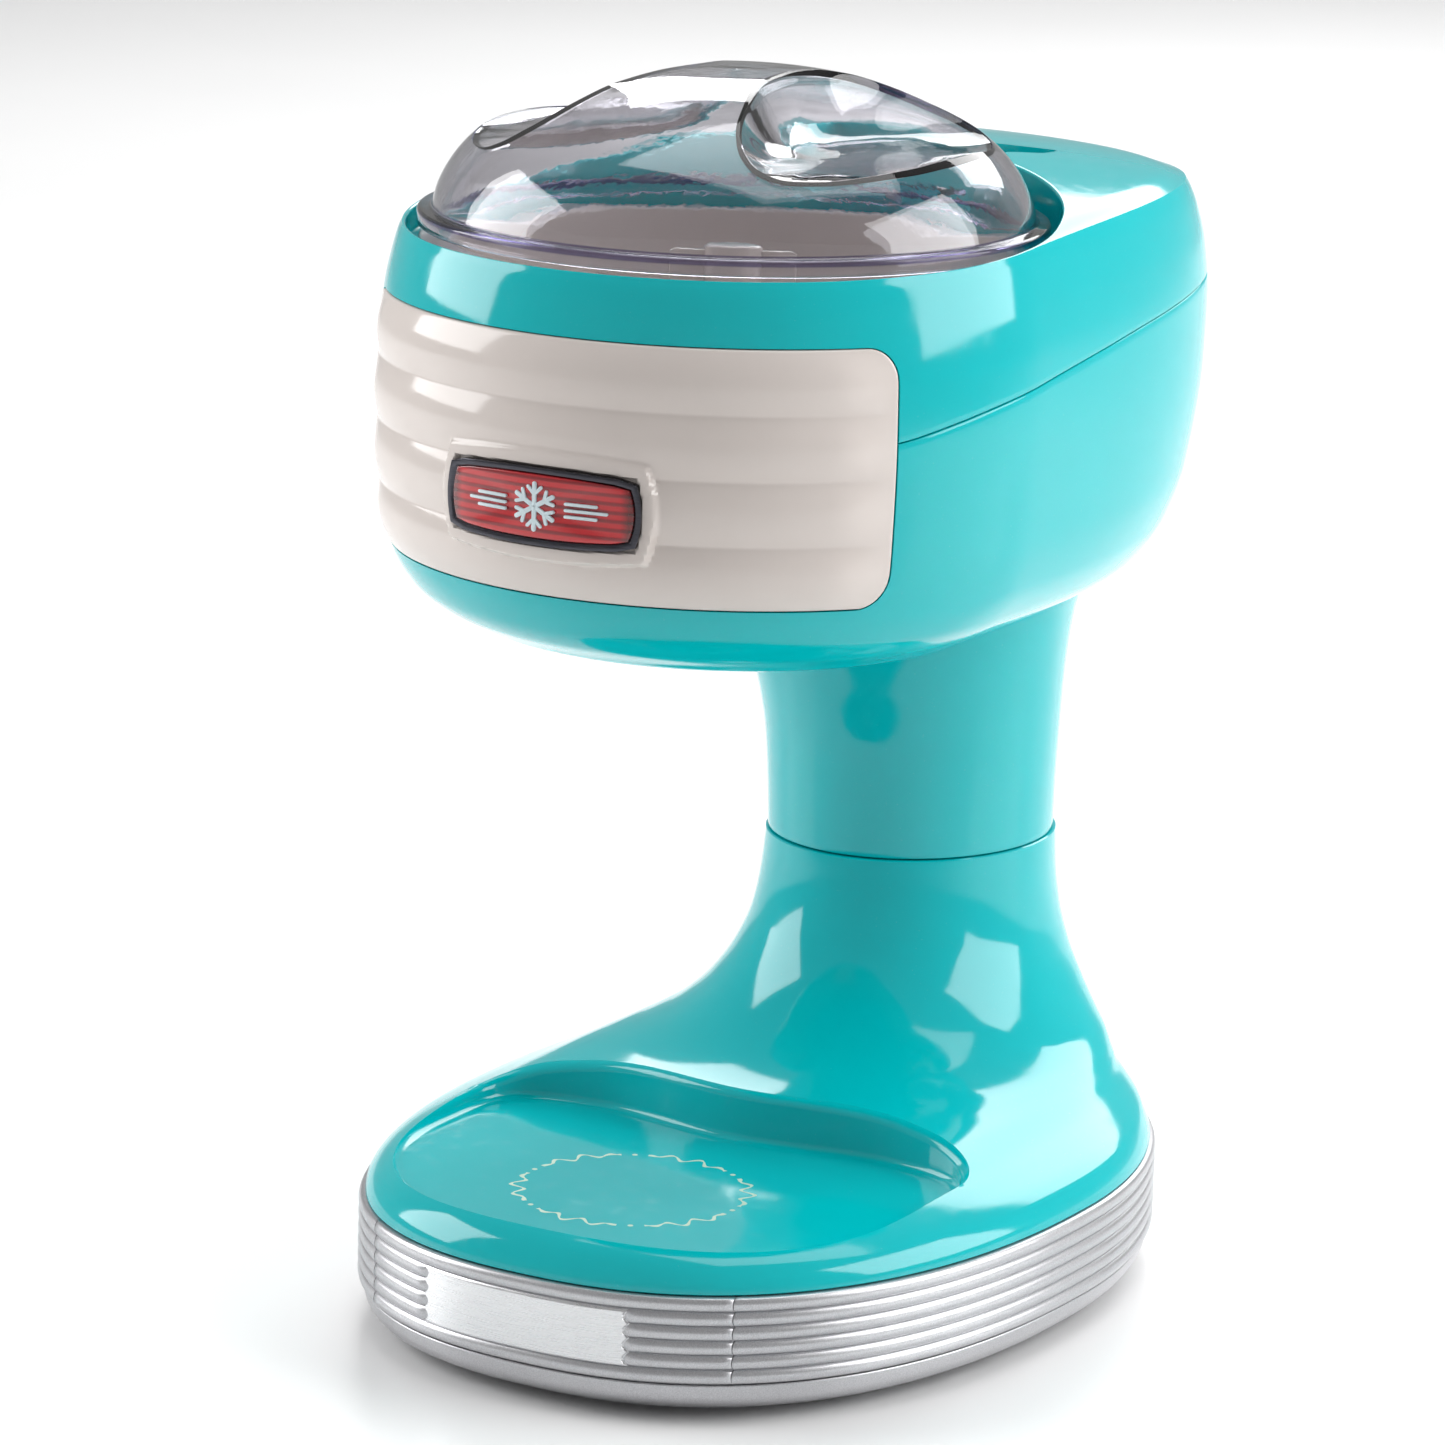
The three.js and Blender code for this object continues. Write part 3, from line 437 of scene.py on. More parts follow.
class Graph:
    """A material's node tree, with one way to add nodes."""

    def __init__(self, name: str) -> None:
        """Makes an empty material with an output.

        Args:
            name: The material's name.
        """
        self.material = bpy.data.materials.new(name)
        self.material.use_nodes = True
        self.tree = self.material.node_tree
        self.tree.nodes.clear()
        self.output = self.tree.nodes.new("ShaderNodeOutputMaterial")

    def add(self, kind: str, settings: Optional[dict] = None, inputs: Optional[dict] = None,
            output: object = 0) -> Value:
        """Adds a node.

        Args:
            kind: The node's type.
            settings: Attributes set before the inputs.
            inputs: Values or links for its sockets, by name or number.
            output: The socket returned, by name or number.

        Returns:
            The chosen output as a value.
        """
        node = self.tree.nodes.new(kind)
        for key, setting in (settings or {}).items():
            setattr(node, key, setting)
        for key, given in (inputs or {}).items():
            socket = node.inputs[key]
            if isinstance(given, Value):
                self.tree.links.new(given.socket, socket)
            elif isinstance(given, tuple) and len(given) == 3 and socket.type == "RGBA":
                socket.default_value = (*given, 1.0)
            else:
                socket.default_value = given
        return Value(self, node.outputs[output])

    def place(self) -> Value:
        """Returns the object coordinates, in metres."""
        return self.add("ShaderNodeTexCoord", output="Object")

    def axis(self, number: int) -> Value:
        """Returns one of the object coordinates: 0 for x, 1 for y and 2 for z."""
        return self.add("ShaderNodeSeparateXYZ", inputs={0: self.place()}, output=number)

    def noise(self, per_metre: float, detail: float = 2.0, stretch: Optional[tuple] = None) -> Value:
        """Returns a noise with that many waves in a metre.

        Args:
            per_metre: The noise's scale.
            detail: Its finer layers.
            stretch: A scale for each axis, for a directional grain.

        Returns:
            The noise's value.
        """
        place = self.place()
        if stretch:
            place = self.add("ShaderNodeMapping", inputs={"Vector": place, "Scale": stretch})
        return self.add("ShaderNodeTexNoise", inputs={"Vector": place, "Scale": per_metre, "Detail": detail})

    def mix(self, share: object, first: object, second: object) -> Value:
        """Mixes two colours by a share.

        Args:
            share: The second colour's share.
            first: The colour at 0.
            second: The colour at 1.

        Returns:
            The mixed colour.
        """
        settings = {"data_type": "RGBA"}
        colours = [(*c, 1.0) if isinstance(c, tuple) else c for c in (first, second)]
        return self.add("ShaderNodeMix", settings, {0: share, 6: colours[0], 7: colours[1]}, output=2)

    def bump(self, height: Value, strength: float, distance: float) -> Value:
        """Returns a normal bumped by a height, over a distance in metres."""
        return self.add("ShaderNodeBump", inputs={"Height": height, "Strength": strength, "Distance": distance})

    def principled(self, **sockets: object) -> bpy.types.Material:
        """Ends the graph in a principled shader, with sockets named in words joined by underscores.

        Args:
            sockets: Numbers, colours or values for the shader's sockets.

        Returns:
            The finished material.
        """
        names = {key.replace("_", " ").title().replace("Ior", "IOR"): given for key, given in sockets.items()}
        shader = self.add("ShaderNodeBsdfPrincipled", inputs=names)
        self.tree.links.new(shader.socket, self.output.inputs["Surface"])
        return self.material


# ---------------------------------------------------------------- finishes


@dataclass(frozen=True)
class GlossPlastic:
    """Glossy moulded plastic with a faint cloudiness, fine handling marks and a moulded skin."""

    name: str
    colour: tuple
    deep: tuple
    roughness: float = 0.16
    specular: float = 0.5
    coat: float = 0.35

    def material(self) -> bpy.types.Material:
        """Builds the material.

        Returns:
            The finished material.
        """
        g = Graph(self.name)
        cloud = g.noise(14, 3).above(0.5, 0.55)
        colour = g.mix(cloud, self.deep, self.colour)
        marks = g.noise(260, 4, (1.0, 1.0, 0.25)).above(0.62, 0.2)
        specks = g.noise(1900, 2).above(0.74, 0.08)
        skin = g.noise(230, 2) + 0.25 * g.noise(1500, 1)
        return g.principled(
            base_color=g.mix(specks * 0.05, colour, (0.9, 0.9, 0.88)),
            roughness=self.roughness + 0.05 * marks + 0.03 * cloud,
            specular_ior_level=self.specular,
            coat_weight=self.coat,
            coat_roughness=0.04,
            normal=g.bump(skin, 0.05, 0.0002),
        )


@dataclass(frozen=True)
class MetalPaint:
    """Silver paint over plastic: fine flakes under a clear skin."""

    name: str
    colour: tuple = (0.60, 0.60, 0.62)
    shade: tuple = (0.40, 0.40, 0.42)
    roughness: float = 0.30
    metallic: float = 0.88

    def material(self) -> bpy.types.Material:
        """Builds the material.

        Returns:
            The finished material.
        """
        g = Graph(self.name)
        flakes = g.noise(3200, 2)
        cloud = g.noise(30, 2).above(0.5, 0.6)
        colour = g.mix(flakes.above(0.5, 0.5), self.shade, self.colour)
        return g.principled(
            base_color=g.mix(0.25 * cloud, colour, (0.72, 0.72, 0.73)),
            metallic=self.metallic,
            roughness=self.roughness + 0.06 * g.noise(90, 3),
            normal=g.bump(flakes, 0.10, 0.0001),
        )


@dataclass(frozen=True)
class BareMetal:
    """Bare metal with a fine directional grain."""

    name: str
    colour: tuple
    shade: tuple
    roughness: float = 0.28
    grain: tuple = (1.0, 1.0, 30.0)
    grain_scale: float = 160.0

    def material(self) -> bpy.types.Material:
        """Builds the material.

        Returns:
            The finished material.
        """
        g = Graph(self.name)
        lines = g.noise(self.grain_scale, 4, self.grain)
        return g.principled(
            base_color=g.mix(lines.above(0.5, 0.7), self.shade, self.colour),
            metallic=1.0,
            roughness=self.roughness + 0.12 * lines,
            normal=g.bump(lines, 0.06, 0.0001),
        )


@dataclass(frozen=True)
class Matte:
    """Matte rubber or engineering plastic with a pebbled skin and light dust."""

    name: str
    colour: tuple
    dust: tuple
    roughness: float = 0.6

    def material(self) -> bpy.types.Material:
        """Builds the material.

        Returns:
            The finished material.
        """
        g = Graph(self.name)
        pebble = g.noise(1400, 2)
        dusty = g.noise(60, 4).above(0.58, 0.3)
        return g.principled(
            base_color=g.mix(0.25 * dusty, self.colour, self.dust),
            roughness=self.roughness + 0.12 * dusty,
            normal=g.bump(pebble, 0.18, 0.0002),
        )


@dataclass(frozen=True)
class StripedLacquer:
    """Red lacquer with level pinstripes and darker ends, under a clear dome."""

    name: str
    middle_z: float
    stripe_pitch: float
    half_width: float
    red: tuple = (0.55, 0.006, 0.012)
    dark: tuple = (0.13, 0.0, 0.004)

    def material(self) -> bpy.types.Material:
        """Builds the material.

        Returns:
            The finished material.
        """
        g = Graph(self.name)
        across, height = g.axis(0), g.axis(2)
        phase = (height - self.middle_z * MM) * (2 * math.pi / (self.stripe_pitch * MM))
        stripe = phase.wave().above(0.25, 1.1)
        ends = ((across * across) / (self.half_width * MM) ** 2).above(0.93, 0.16)
        cloud = 0.12 * g.noise(500, 3)
        striped = g.mix(0.72 * stripe + cloud, self.red, self.dark)
        return g.principled(
            base_color=g.mix(0.7 * ends, striped, (0.02, 0.0, 0.0)),
            roughness=0.22 + 0.06 * g.noise(700, 2),
            coat_weight=1.0,
            coat_roughness=0.03,
            normal=g.bump(stripe, 0.12, 0.0002),
        )


@dataclass(frozen=True)
class ClearSmoke:
    """Clear moulded plastic with a faint violet smoke, soft flow ripples and a painted shade band: a dark violet
    ring at the flange's height that stands in for the shade seen through the flange's thickness.
    """

    name: str
    tint: tuple = (0.985, 0.98, 0.99)
    # edge: the colour of the painted shade band round the flange.
    edge: tuple = (0.16, 0.14, 0.36)
    deep: tuple = (0.30, 0.27, 0.52)
    density: float = 34.0
    # The painted shade band's lower and upper heights, in millimetres.
    painted_shade_low: float = 278.0
    painted_shade_high: float = 279.5

    def material(self) -> bpy.types.Material:
        """Builds the material.

        Returns:
            The finished material.
        """
        g = Graph(self.name)
        ripple = g.noise(150, 2) + 0.3 * g.noise(520, 1)
        haze = g.noise(70, 3).above(0.62, 0.3)
        height = g.axis(2)
        # Painted shade: a dark violet band at the flange's height, standing in for the shade seen through the
        # flange's thickness.
        edge = height.above(self.painted_shade_low * MM, 0.0004) - height.above(self.painted_shade_high * MM, 0.0004)
        body = g.mix(0.2 * haze, self.tint, (0.90, 0.89, 0.93))
        made = g.principled(
            base_color=g.mix(edge, body, self.edge),
            roughness=0.015 + 0.05 * haze,
            ior=1.49,
            transmission_weight=1.0,
            normal=g.bump(ripple, 0.05, 0.0005),
        )
        depth = g.add("ShaderNodeVolumeAbsorption", inputs={"Color": self.deep, "Density": self.density})
        g.tree.links.new(depth.socket, g.output.inputs["Volume"])
        return made


@dataclass
class Palette:
    """All finishes, built once and shared."""

    turquoise: bpy.types.Material = field(init=False)
    cream: bpy.types.Material = field(init=False)
    silver: bpy.types.Material = field(init=False)
    plate: bpy.types.Material = field(init=False)
    steel: bpy.types.Material = field(init=False)
    bronze: bpy.types.Material = field(init=False)
    plated: bpy.types.Material = field(init=False)
    red: bpy.types.Material = field(init=False)
    emblem: bpy.types.Material = field(init=False)
    print_ink: bpy.types.Material = field(init=False)
    clear: bpy.types.Material = field(init=False)
    acetal: bpy.types.Material = field(init=False)
    rubber: bpy.types.Material = field(init=False)
    black: bpy.types.Material = field(init=False)

    def __post_init__(self) -> None:
        """Builds every material."""
        self.turquoise = GlossPlastic(
            "turquoise_gloss", (0.0, 0.46, 0.49), (0.0, 0.42, 0.45), roughness=0.07, coat=0.0).material()
        self.cream = GlossPlastic(
            "cream_gloss", (0.66, 0.60, 0.565), (0.63, 0.57, 0.535), roughness=0.10, coat=0.0).material()
        self.silver = MetalPaint("silver_paint").material()
        self.plate = BareMetal(
            "satin_plate", (0.80, 0.80, 0.81), (0.68, 0.68, 0.70), roughness=0.22, grain=(1, 1, 24)).material()
        self.steel = BareMetal("machined_steel", (0.60, 0.61, 0.62), (0.45, 0.46, 0.47)).material()
        self.bronze = BareMetal(
            "sintered_bronze", (0.62, 0.44, 0.22), (0.42, 0.28, 0.12), roughness=0.4, grain=(1, 1, 1)).material()
        self.plated = BareMetal("dark_plating", (0.10, 0.10, 0.115), (0.04, 0.04, 0.05), 0.12).material()
        self.red = StripedLacquer("red_lacquer", 220.5, 2.05, 23.5).material()
        self.emblem = GlossPlastic("pale_enamel", (0.66, 0.76, 0.80), (0.58, 0.70, 0.74), 0.25).material()
        self.print_ink = Matte("pale_print", (0.42, 0.56, 0.42), (0.46, 0.58, 0.46), 0.35).material()
        self.clear = ClearSmoke("smoke_clear").material()
        self.acetal = Matte("acetal", (0.80, 0.78, 0.72), (0.70, 0.68, 0.62), 0.42).material()
        self.rubber = Matte("black_rubber", (0.018, 0.018, 0.02), (0.09, 0.09, 0.09), 0.62).material()
        self.black = Matte("black_plastic", (0.025, 0.025, 0.028), (0.08, 0.08, 0.08), 0.45).material()


def dress(piece: Piece, material: bpy.types.Material, body: Body, slot: str, *nodes: str) -> Piece:
    """Gives a piece its finish, its body and the frame nodes that it stands for.

    Args:
        piece: The finished mesh.
        material: Its material.
        body: The body it rides on.
        slot: The record's material slot; not used.
        nodes: The frame nodes it replaces.

    Returns:
        The piece.
    """
    piece.data.materials.clear()
    piece.data.materials.append(material)
    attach(piece, body.value)
    if nodes:
        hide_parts(*nodes)
    LOG.info("%s: %d faces", piece.name, len(piece.data.polygons))
    return piece


# ---------------------------------------------------------------- base


@dataclass
class Base:
    """The egg-shaped base: pan, ribbed trim ring, nameplate, cover with its cup recess, and feet."""

    half: float = 89.1
    front: float = -88.3
    rear: float = 156.0
    middle: float = 38.0
    powers: tuple = (2.35, 2.0)
    ring_bottom: float = 10.7
    ring_top: float = 32.4
    ribs: int = 6
    rib_depth: float = 1.0
    plate_half: float = 29.0
    plate_bottom: float = 14.3
    plate_top: float = 28.6
    recess_floor: float = 40.3
    recess_half: float = 70.0
    recess_front: float = 69.0
    recess_rear: float = 32.0
    recess_middle: float = -12.0
    recess_powers: tuple = (2.3, 4.5)
    recess_bulge: float = 6.0
    recess_bulge_half: float = 45.0
    recess_fillet: float = 2.2
    cover_wall: float = 2.6
    print_radius: float = 28.5
    print_y: float = -36.0
    screw_places: tuple = ((-62, -2), (62, -2), (-46, 116), (46, 116))
    foot_places: tuple = ((-52, -42), (52, -42), (-52, 94), (52, 94))
    cover_rows: tuple = (
        (32.8, 88.6, -87.8, 155.6, 38, 2.35, 2.0), (34.8, 88.2, -87.5, 155.0, 38.3, 2.35, 2.0),
        (37, 87.2, -86.6, 154, 39, 2.35, 2.0), (40, 84.2, -84.6, 152.5, 41, 2.35, 2.05),
        (43, 78.2, -80.2, 151, 44, 2.35, 2.15), (46, 71.5, -68, 150, 50, 2.35, 2.25),
        (49, 66, -38, 149.3, 60, 2.3, 2.36), (51.5, 61.5, -2, 148.8, 72, 2.3, 2.40),
        (54, 57.4, 18, 148.3, 82, 2.2, 2.42), (58, 52.5, 31, 147.8, 90, 2.1, 2.42),
        (65, 47, 41.5, 147, 95.5, 2.0, 2.38), (74, 42, 50, 146.4, 98.5, 2.0, 2.28),
        (84, 38.8, 55.5, 146, 101, 2.0, 2.15), (94, 37.5, 58.5, 145.6, 102, 2.0, 2.05),
        (105.1, 36.8, 60, 145.5, 103, 2.0, 2.0),
    )

    def outline(self, angles: Array, offset: Array, z: float) -> Array:
        """Returns a ring of the base's footprint, moved outwards by an offset for each angle.

        Args:
            angles: Directions in radians, with the rear at a quarter turn.
            offset: How far outwards, for each angle.
            z: The height.

        Returns:
            An (angles, 3) array of points.
        """
        front, rear = self.middle - self.front + offset, self.rear - self.middle + offset
        reach = superellipse(angles, self.half + offset, front, rear, self.powers)
        x, y = reach * np.cos(angles), self.middle + reach * np.sin(angles)
        return np.stack([x, y, np.full(len(angles), z)], 1)

    def pan(self) -> Piece:
        """Builds the pan: a smooth band over a rounded, dished underside with screw cups.

        Returns:
            The finished mesh.
        """
        angles = turn()
        profile = rounded([
            (-60, 2.3, 0), (-6.5, 2.3, 6), (-1.2, 5.2, 5), (0, 10.3, 0.4), (-2.3, 10.3, 0.2),
            (-2.3, 31, 0.4), (-4.3, 31, 0.4), (-4.3, 6, 3), (-60, 4.7, 0)])
        rings = [self.outline(angles, np.full(len(angles), off), z) for off, z in profile]
        pan = loft("base_pan_shell", spread(rings))
        cup = rounded([(0.01, 0, 0), (4.4, 0, 0), (3.9, 3.0, 0.4), (3.9, 7, 0), (0.01, 7, 0)])
        for x, y in self.screw_places:
            combine(pan, lathe("cup", cup, False, y, x, 40), Cut.TAKE_AWAY)
        for low, high in ((-26, -22), (-18, -14), (-10, -6), (-2, 2), (6, 10), (14, 18), (22, 26)):
            vent = soften(block("vent", (low, 20, 0), (high, 62, 8)), 1.2)
            combine(pan, vent, Cut.TAKE_AWAY)
        return finish_mesh(pan)

    def rib_offset(self, z: float) -> float:
        """Returns how far the ring stands out at a height: rounded ribs with narrow grooves.

        Args:
            z: The height.

        Returns:
            The offset in millimetres.
        """
        pitch = (self.ring_top - self.ring_bottom) / self.ribs
        share = ((z - self.ring_bottom) / pitch) % 1.0
        return self.rib_depth * abs(math.sin(math.pi * share)) ** 0.55

    def ring(self) -> Piece:
        """Builds the trim ring, its ribs flattened behind the nameplate.

        Returns:
            The ring.
        """
        angles = turn(320)
        flat = self.outline(angles, np.zeros(len(angles)), 0)
        steps = self.ribs * 14
        rings = []
        for step in range(steps + 1):
            z = self.ring_bottom + (self.ring_top - self.ring_bottom) * step / steps
            behind = (flat[:, 1] < 0) & (np.abs(flat[:, 0]) < self.plate_half - 0.5)
            behind &= self.plate_bottom + 0.4 < z < self.plate_top - 0.4
            offset = np.where(behind, -0.2, self.rib_offset(z))
            rings.append(self.outline(angles, offset, z))
        for z in (self.ring_top, self.ring_bottom):
            rings.append(self.outline(angles, np.full(len(angles), -2.0), z))
        ring = loft("trim_ring_ribbed", spread(rings), closed=True, sharp_degrees=60)
        for x in (-51, 51):
            witness = block("witness", (x - 0.12, -110, self.ring_bottom - 1), (x + 0.12, -40, self.ring_top + 1))
            combine(witness, self.witness_core(), Cut.TAKE_AWAY)
            combine(ring, witness, Cut.TAKE_AWAY)
        return finish_mesh(ring, 60)

    def witness_core(self) -> Piece:
        """Builds the inside of the ring's skin, which limits how deep a mould witness line cuts.

        Returns:
            The finished mesh.
        """
        angles = turn(160)
        rings = [self.outline(angles, np.full(160, -0.15), z) for z in (0, 60)]
        return loft("witness_core", spread(rings))

    def nameplate(self) -> Piece:
        """Builds the blank curved plate, whose ends are scalloped where they meet the ribs.

        Returns:
            The finished mesh.
        """
        heights = np.linspace(self.plate_bottom, self.plate_top, 57)
        pitch = (self.plate_top - self.plate_bottom) / 4
        scallop = 1.3 * np.abs(np.sin(math.pi * (heights - self.plate_bottom) / pitch))
        columns = np.concatenate([[-1, -0.994, -0.98], np.linspace(-0.95, 0.95, 61), [0.98, 0.994, 1]])
        sides = self.front_angles(np.outer(self.plate_half - scallop, columns))
        rise = 0.8 - 0.45 * (np.abs(columns) > 0.99)
        lip = np.minimum(1, (7.15 - np.abs(heights - 21.45)) / 0.5)
        outer = np.stack([self.outline(a, rise * (0.55 + 0.45 * l), z) for a, l, z in zip(sides, lip, heights)])
        inner = np.stack([self.outline(a, np.full(len(a), -0.3), z) for a, z in zip(sides, heights)])
        return slab("nameplate_blank", outer, inner)

    def front_angles(self, across: Array) -> Array:
        """Returns the footprint angles whose points have the given x on the front half.

        Args:
            across: The x of each point.

        Returns:
            An angle for each x.
        """
        angles = np.linspace(math.pi * 1.05, math.pi * 1.95, 721)
        xs = self.outline(angles, np.zeros(len(angles)), 0)[:, 0]
        return np.interp(across, xs, angles)

    def cover_ring(self, angles: Array, z: float, offset: float, lift: float = 0.0) -> Array:
        """Returns a ring of the cover's skin at a height.

        Args:
            angles: Directions in radians, with the rear at a quarter turn.
            z: The height.
            offset: How far the ring is moved outwards, in millimetres.
            lift: How far the ring is raised.

        Returns:
            An (angles, 3) array of points.
        """
        rows = np.array(self.cover_rows)
        half, front, rear, middle, nf, nr = (float(monotone(rows[:, 0], rows[:, c], z)) for c in range(1, 7))
        reach = superellipse(angles, half + offset, middle - front + offset, rear - middle + offset, (nf, nr))
        x, y = reach * np.cos(angles), middle + reach * np.sin(angles)
        return np.stack([x, y, np.full(len(angles), z + lift)], 1)

    def cover_heights(self, count: int) -> Array:
        """Returns heights spaced evenly along the cover's front profile.

        Args:
            count: How many heights.

        Returns:
            The heights, rising.
        """
        rows = np.array(self.cover_rows)
        fine = np.linspace(rows[0, 0], rows[-1, 0], 2000)
        front = monotone(rows[:, 0], rows[:, 2], fine)
        length = np.concatenate([[0], np.cumsum(np.hypot(np.diff(fine), 0.45 * np.diff(front)))])
        return np.interp(np.linspace(0, length[-1], count), length, fine)

    def recess_ring(self, angles: Array, z: Array, offset: float) -> Array:
        """Returns a ring of the cup recess: a wide D whose straight side bulges forwards.

        Args:
            angles: Directions in radians, with the rear at a quarter turn.
            z: The height.
            offset: How far the ring is moved outwards, in millimetres.

        Returns:
            An (angles, 3) array of points.
        """
        reach = superellipse(angles, self.recess_half + offset, self.recess_front + offset,
                             self.recess_rear + offset, self.recess_powers)
        x, y = reach * np.cos(angles), self.recess_middle + reach * np.sin(angles)
        share = np.minimum(1, np.abs(x) / self.recess_bulge_half)
        y = y - np.where(y > 0, self.recess_bulge * np.cos(share * math.pi / 2) ** 2, 0)
        return np.stack([x, y, np.broadcast_to(z, x.shape)], 1)

    def rim_heights(self, angles: Array, offset: float) -> Array:
        """Returns the height of the cover's skin over the recess's outline, grown by an offset.

        Args:
            angles: Directions in radians, with the rear at a quarter turn.
            offset: How far the ring is moved outwards, in millimetres.

        Returns:
            A height for each angle.
        """
        rows = np.array(self.cover_rows)
        heights = np.linspace(34, 66, 640)
        columns = [monotone(rows[:, 0], rows[:, c], heights) for c in range(1, 7)]
        half, front, rear, middle, nf, nr = (c[:, None] for c in columns)
        spot = self.recess_ring(angles, 0.0, offset)
        dx, dy = spot[:, 0][None], spot[:, 1][None] - middle
        towards = np.arctan2(dy, dx)
        reach = superellipse(towards, half, middle - front, rear - middle, (nf, nr))
        outside = np.hypot(dx, dy) > reach
        return heights[np.argmax(outside, axis=0)]

    def recess_tool(self, grow: float, drop: float, lip: float) -> Piece:
        """Builds the recess's space, with a rounded floor edge and, where lip is set, a rounded rim.

        Args:
            grow: How far the space is grown to all sides.
            drop: How far its floor is lowered.
            lip: The rounded rim's radius, or 0 for none.

        Returns:
            The finished mesh.
        """
        angles = turn()
        rim = self.rim_heights(angles, lip * 0.76)
        floor = self.recess_floor - drop
        fillet = self.recess_fillet
        edge, centre = self.recess_ring(angles, floor, grow - fillet), np.array([0, -20, floor])
        rings = [centre + (edge - centre) * share for share in (0.02, 0.35, 0.7)]
        for step in range(7):
            bend = step * math.pi / 12
            rings.append(self.recess_ring(angles, floor + fillet * (1 - math.cos(bend)),
                                          grow - fillet + fillet * math.sin(bend)))
        if lip:
            for step in range(9):
                bend = step * math.radians(76) / 8
                z = np.maximum(rim - lip, floor + fillet) + lip * math.sin(bend)
                rings.append(self.recess_ring(angles, z, grow + lip * (1 - math.cos(bend))))
            rings.append(self.recess_ring(angles, rim + 3, grow + lip * 0.78 + 1.2))
        rings.append(self.recess_ring(angles, 90, grow + lip * 0.78 + 1.4))
        return loft("recess_tool", spread(rings))

    def cover(self) -> Piece:
        """Builds the cover: base top, recess and the flared foot of the column.

        Returns:
            The finished mesh.
        """
        angles = turn()
        heights = self.cover_heights(96)
        skirt = [self.cover_ring(angles, heights[0], off, lift)
                 for off, lift in ((-2.4, -0.2), (-0.5, -0.2), (-0.1, 0.1))]
        skin = [self.cover_ring(angles, z, 0.0) for z in heights[1:]]
        neck = [self.cover_ring(angles, heights[-1], off, lift)
                for off, lift in ((-0.35, 0.28), (-2.6, 0.3))]
        cover = loft("base_cover_shell", spread([*skirt, *skin, *neck]))
        wall = self.cover_wall
        inside = [self.cover_ring(angles, z, -wall, -wall) for z in heights[::3]]
        inside[0] = self.cover_ring(angles, heights[0], -2.4, -2)
        inside.append(self.cover_ring(angles, heights[-1], -wall, 3))
        hollow = loft("cover_hollow", spread(inside))
        combine(hollow, self.recess_tool(wall, wall, 0), Cut.TAKE_AWAY)
        combine(cover, hollow, Cut.TAKE_AWAY)
        combine(cover, self.recess_tool(0, 0, 2.4), Cut.TAKE_AWAY)
        return finish_mesh(cover, 38)

    def printed_ring(self) -> Piece:
        """Builds the recess's printed ornament: wavy strokes parted by dots.

        Returns:
            The finished mesh.
        """
        points, faces = [], []
        groups, waves = 6, 3
        ink_z = self.recess_floor + 0.03
        for group in range(groups):
            start = group * 2 * math.pi / groups
            along = np.linspace(0.12, 2 * math.pi / groups - 0.12, 90)
            phase = (along - along[0]) / (along[-1] - along[0])
            swing = phase * waves * 2 * math.pi
            middle = self.print_radius + 1.7 * np.sin(swing) * smooth_step(4 * phase * (1 - phase))
            width = 0.22 + 0.42 * np.abs(np.cos(swing + 0.7))
            base = len(points)
            for r in (middle - width, middle + width):
                for a, radius in zip(along + start, r):
                    points.append((radius * math.cos(a), self.print_y + radius * math.sin(a), ink_z))
            faces += [(base + i, base + 90 + i, base + 91 + i, base + i + 1) for i in range(89)]
            base = len(points)
            hub = (self.print_radius * math.cos(start), self.print_y + self.print_radius * math.sin(start))
            points += [(hub[0] + 0.7 * math.cos(a), hub[1] + 0.7 * math.sin(a), ink_z) for a in turn(16)]
            faces.append(tuple(range(base, base + 16)))
        ring = new_piece("recess_print", np.array(points), faces)
        thicken = ring.modifiers.new("ink", "SOLIDIFY")
        thicken.thickness, thicken.offset = 0.05 * MM, -1
        graph = bpy.context.evaluated_depsgraph_get()
        ring.data = bpy.data.meshes.new_from_object(ring.evaluated_get(graph))
        ring.modifiers.clear()
        return finish_mesh(ring)

    def feet(self) -> list[Piece]:
        """Builds the four rubber feet, with a chamfered tread and a ring groove.

        Returns:
            The four feet.
        """
        profile = rounded([
            (0.01, 0, 0), (3.2, 0, 0), (3.6, 0.5, 0.1), (4.4, 0.5, 0.1), (4.8, 0, 0), (7.0, 0, 0.6),
            (8, 1.0, 0.4), (8, 2.3, 0), (0.01, 2.3, 0)], 3)
        return [lathe(f"rubber_foot_{number}", profile, False, y, x, 56)
                for number, (x, y) in enumerate(self.foot_places, 1)]

    def gland(self) -> Piece:
        """Builds the grommet of the lead's exit at the rear, as a stepped and ribbed sleeve.

        Returns:
            The finished mesh.
        """
        profile = rounded([
            (0.01, -9, 0), (4.6, -9, 0.3), (4.6, -4, 0), (6.5, -4, 0.4), (6.5, 0.6, 0.5), (5, 1.4, 0.3),
            (3.6, 1.4, 0.3), (3.2, -2, 0), (0.01, -2, 0)], 4)
        gland = lathe("cord_grommet", profile, False, 0, 0, 56)
        offset = Matrix.Translation((0, -AXIS_Y, 0))
        move = Matrix.Translation((0, self.rear * MM + AXIS_Y, 19 * MM)) @ Matrix.Rotation(-math.pi / 2, 4, "X")
        gland.data.transform(move @ offset)
        return finish_mesh(gland)

    def build(self, palette: Palette) -> None:
        """Builds and dresses all of the base's pieces.

        Args:
            palette: The finishes.
        """
        dress(self.pan(), palette.silver, Body.HOUSING, "silver", "base_pan")
        dress(self.ring(), palette.silver, Body.HOUSING, "silver", "trim_ring")
        dress(self.nameplate(), palette.plate, Body.HOUSING, "satin_plate", "nameplate")
        dress(self.cover(), palette.turquoise, Body.HOUSING, "turquoise", "base_cover")
        dress(self.printed_ring(), palette.print_ink, Body.HOUSING, "cream")
        for number, foot in enumerate(self.feet(), 1):
            dress(foot, palette.rubber, Body.HOUSING, "black", f"foot_{number}")
        dress(self.gland(), palette.rubber, Body.HOUSING, "black", "cord_gland")


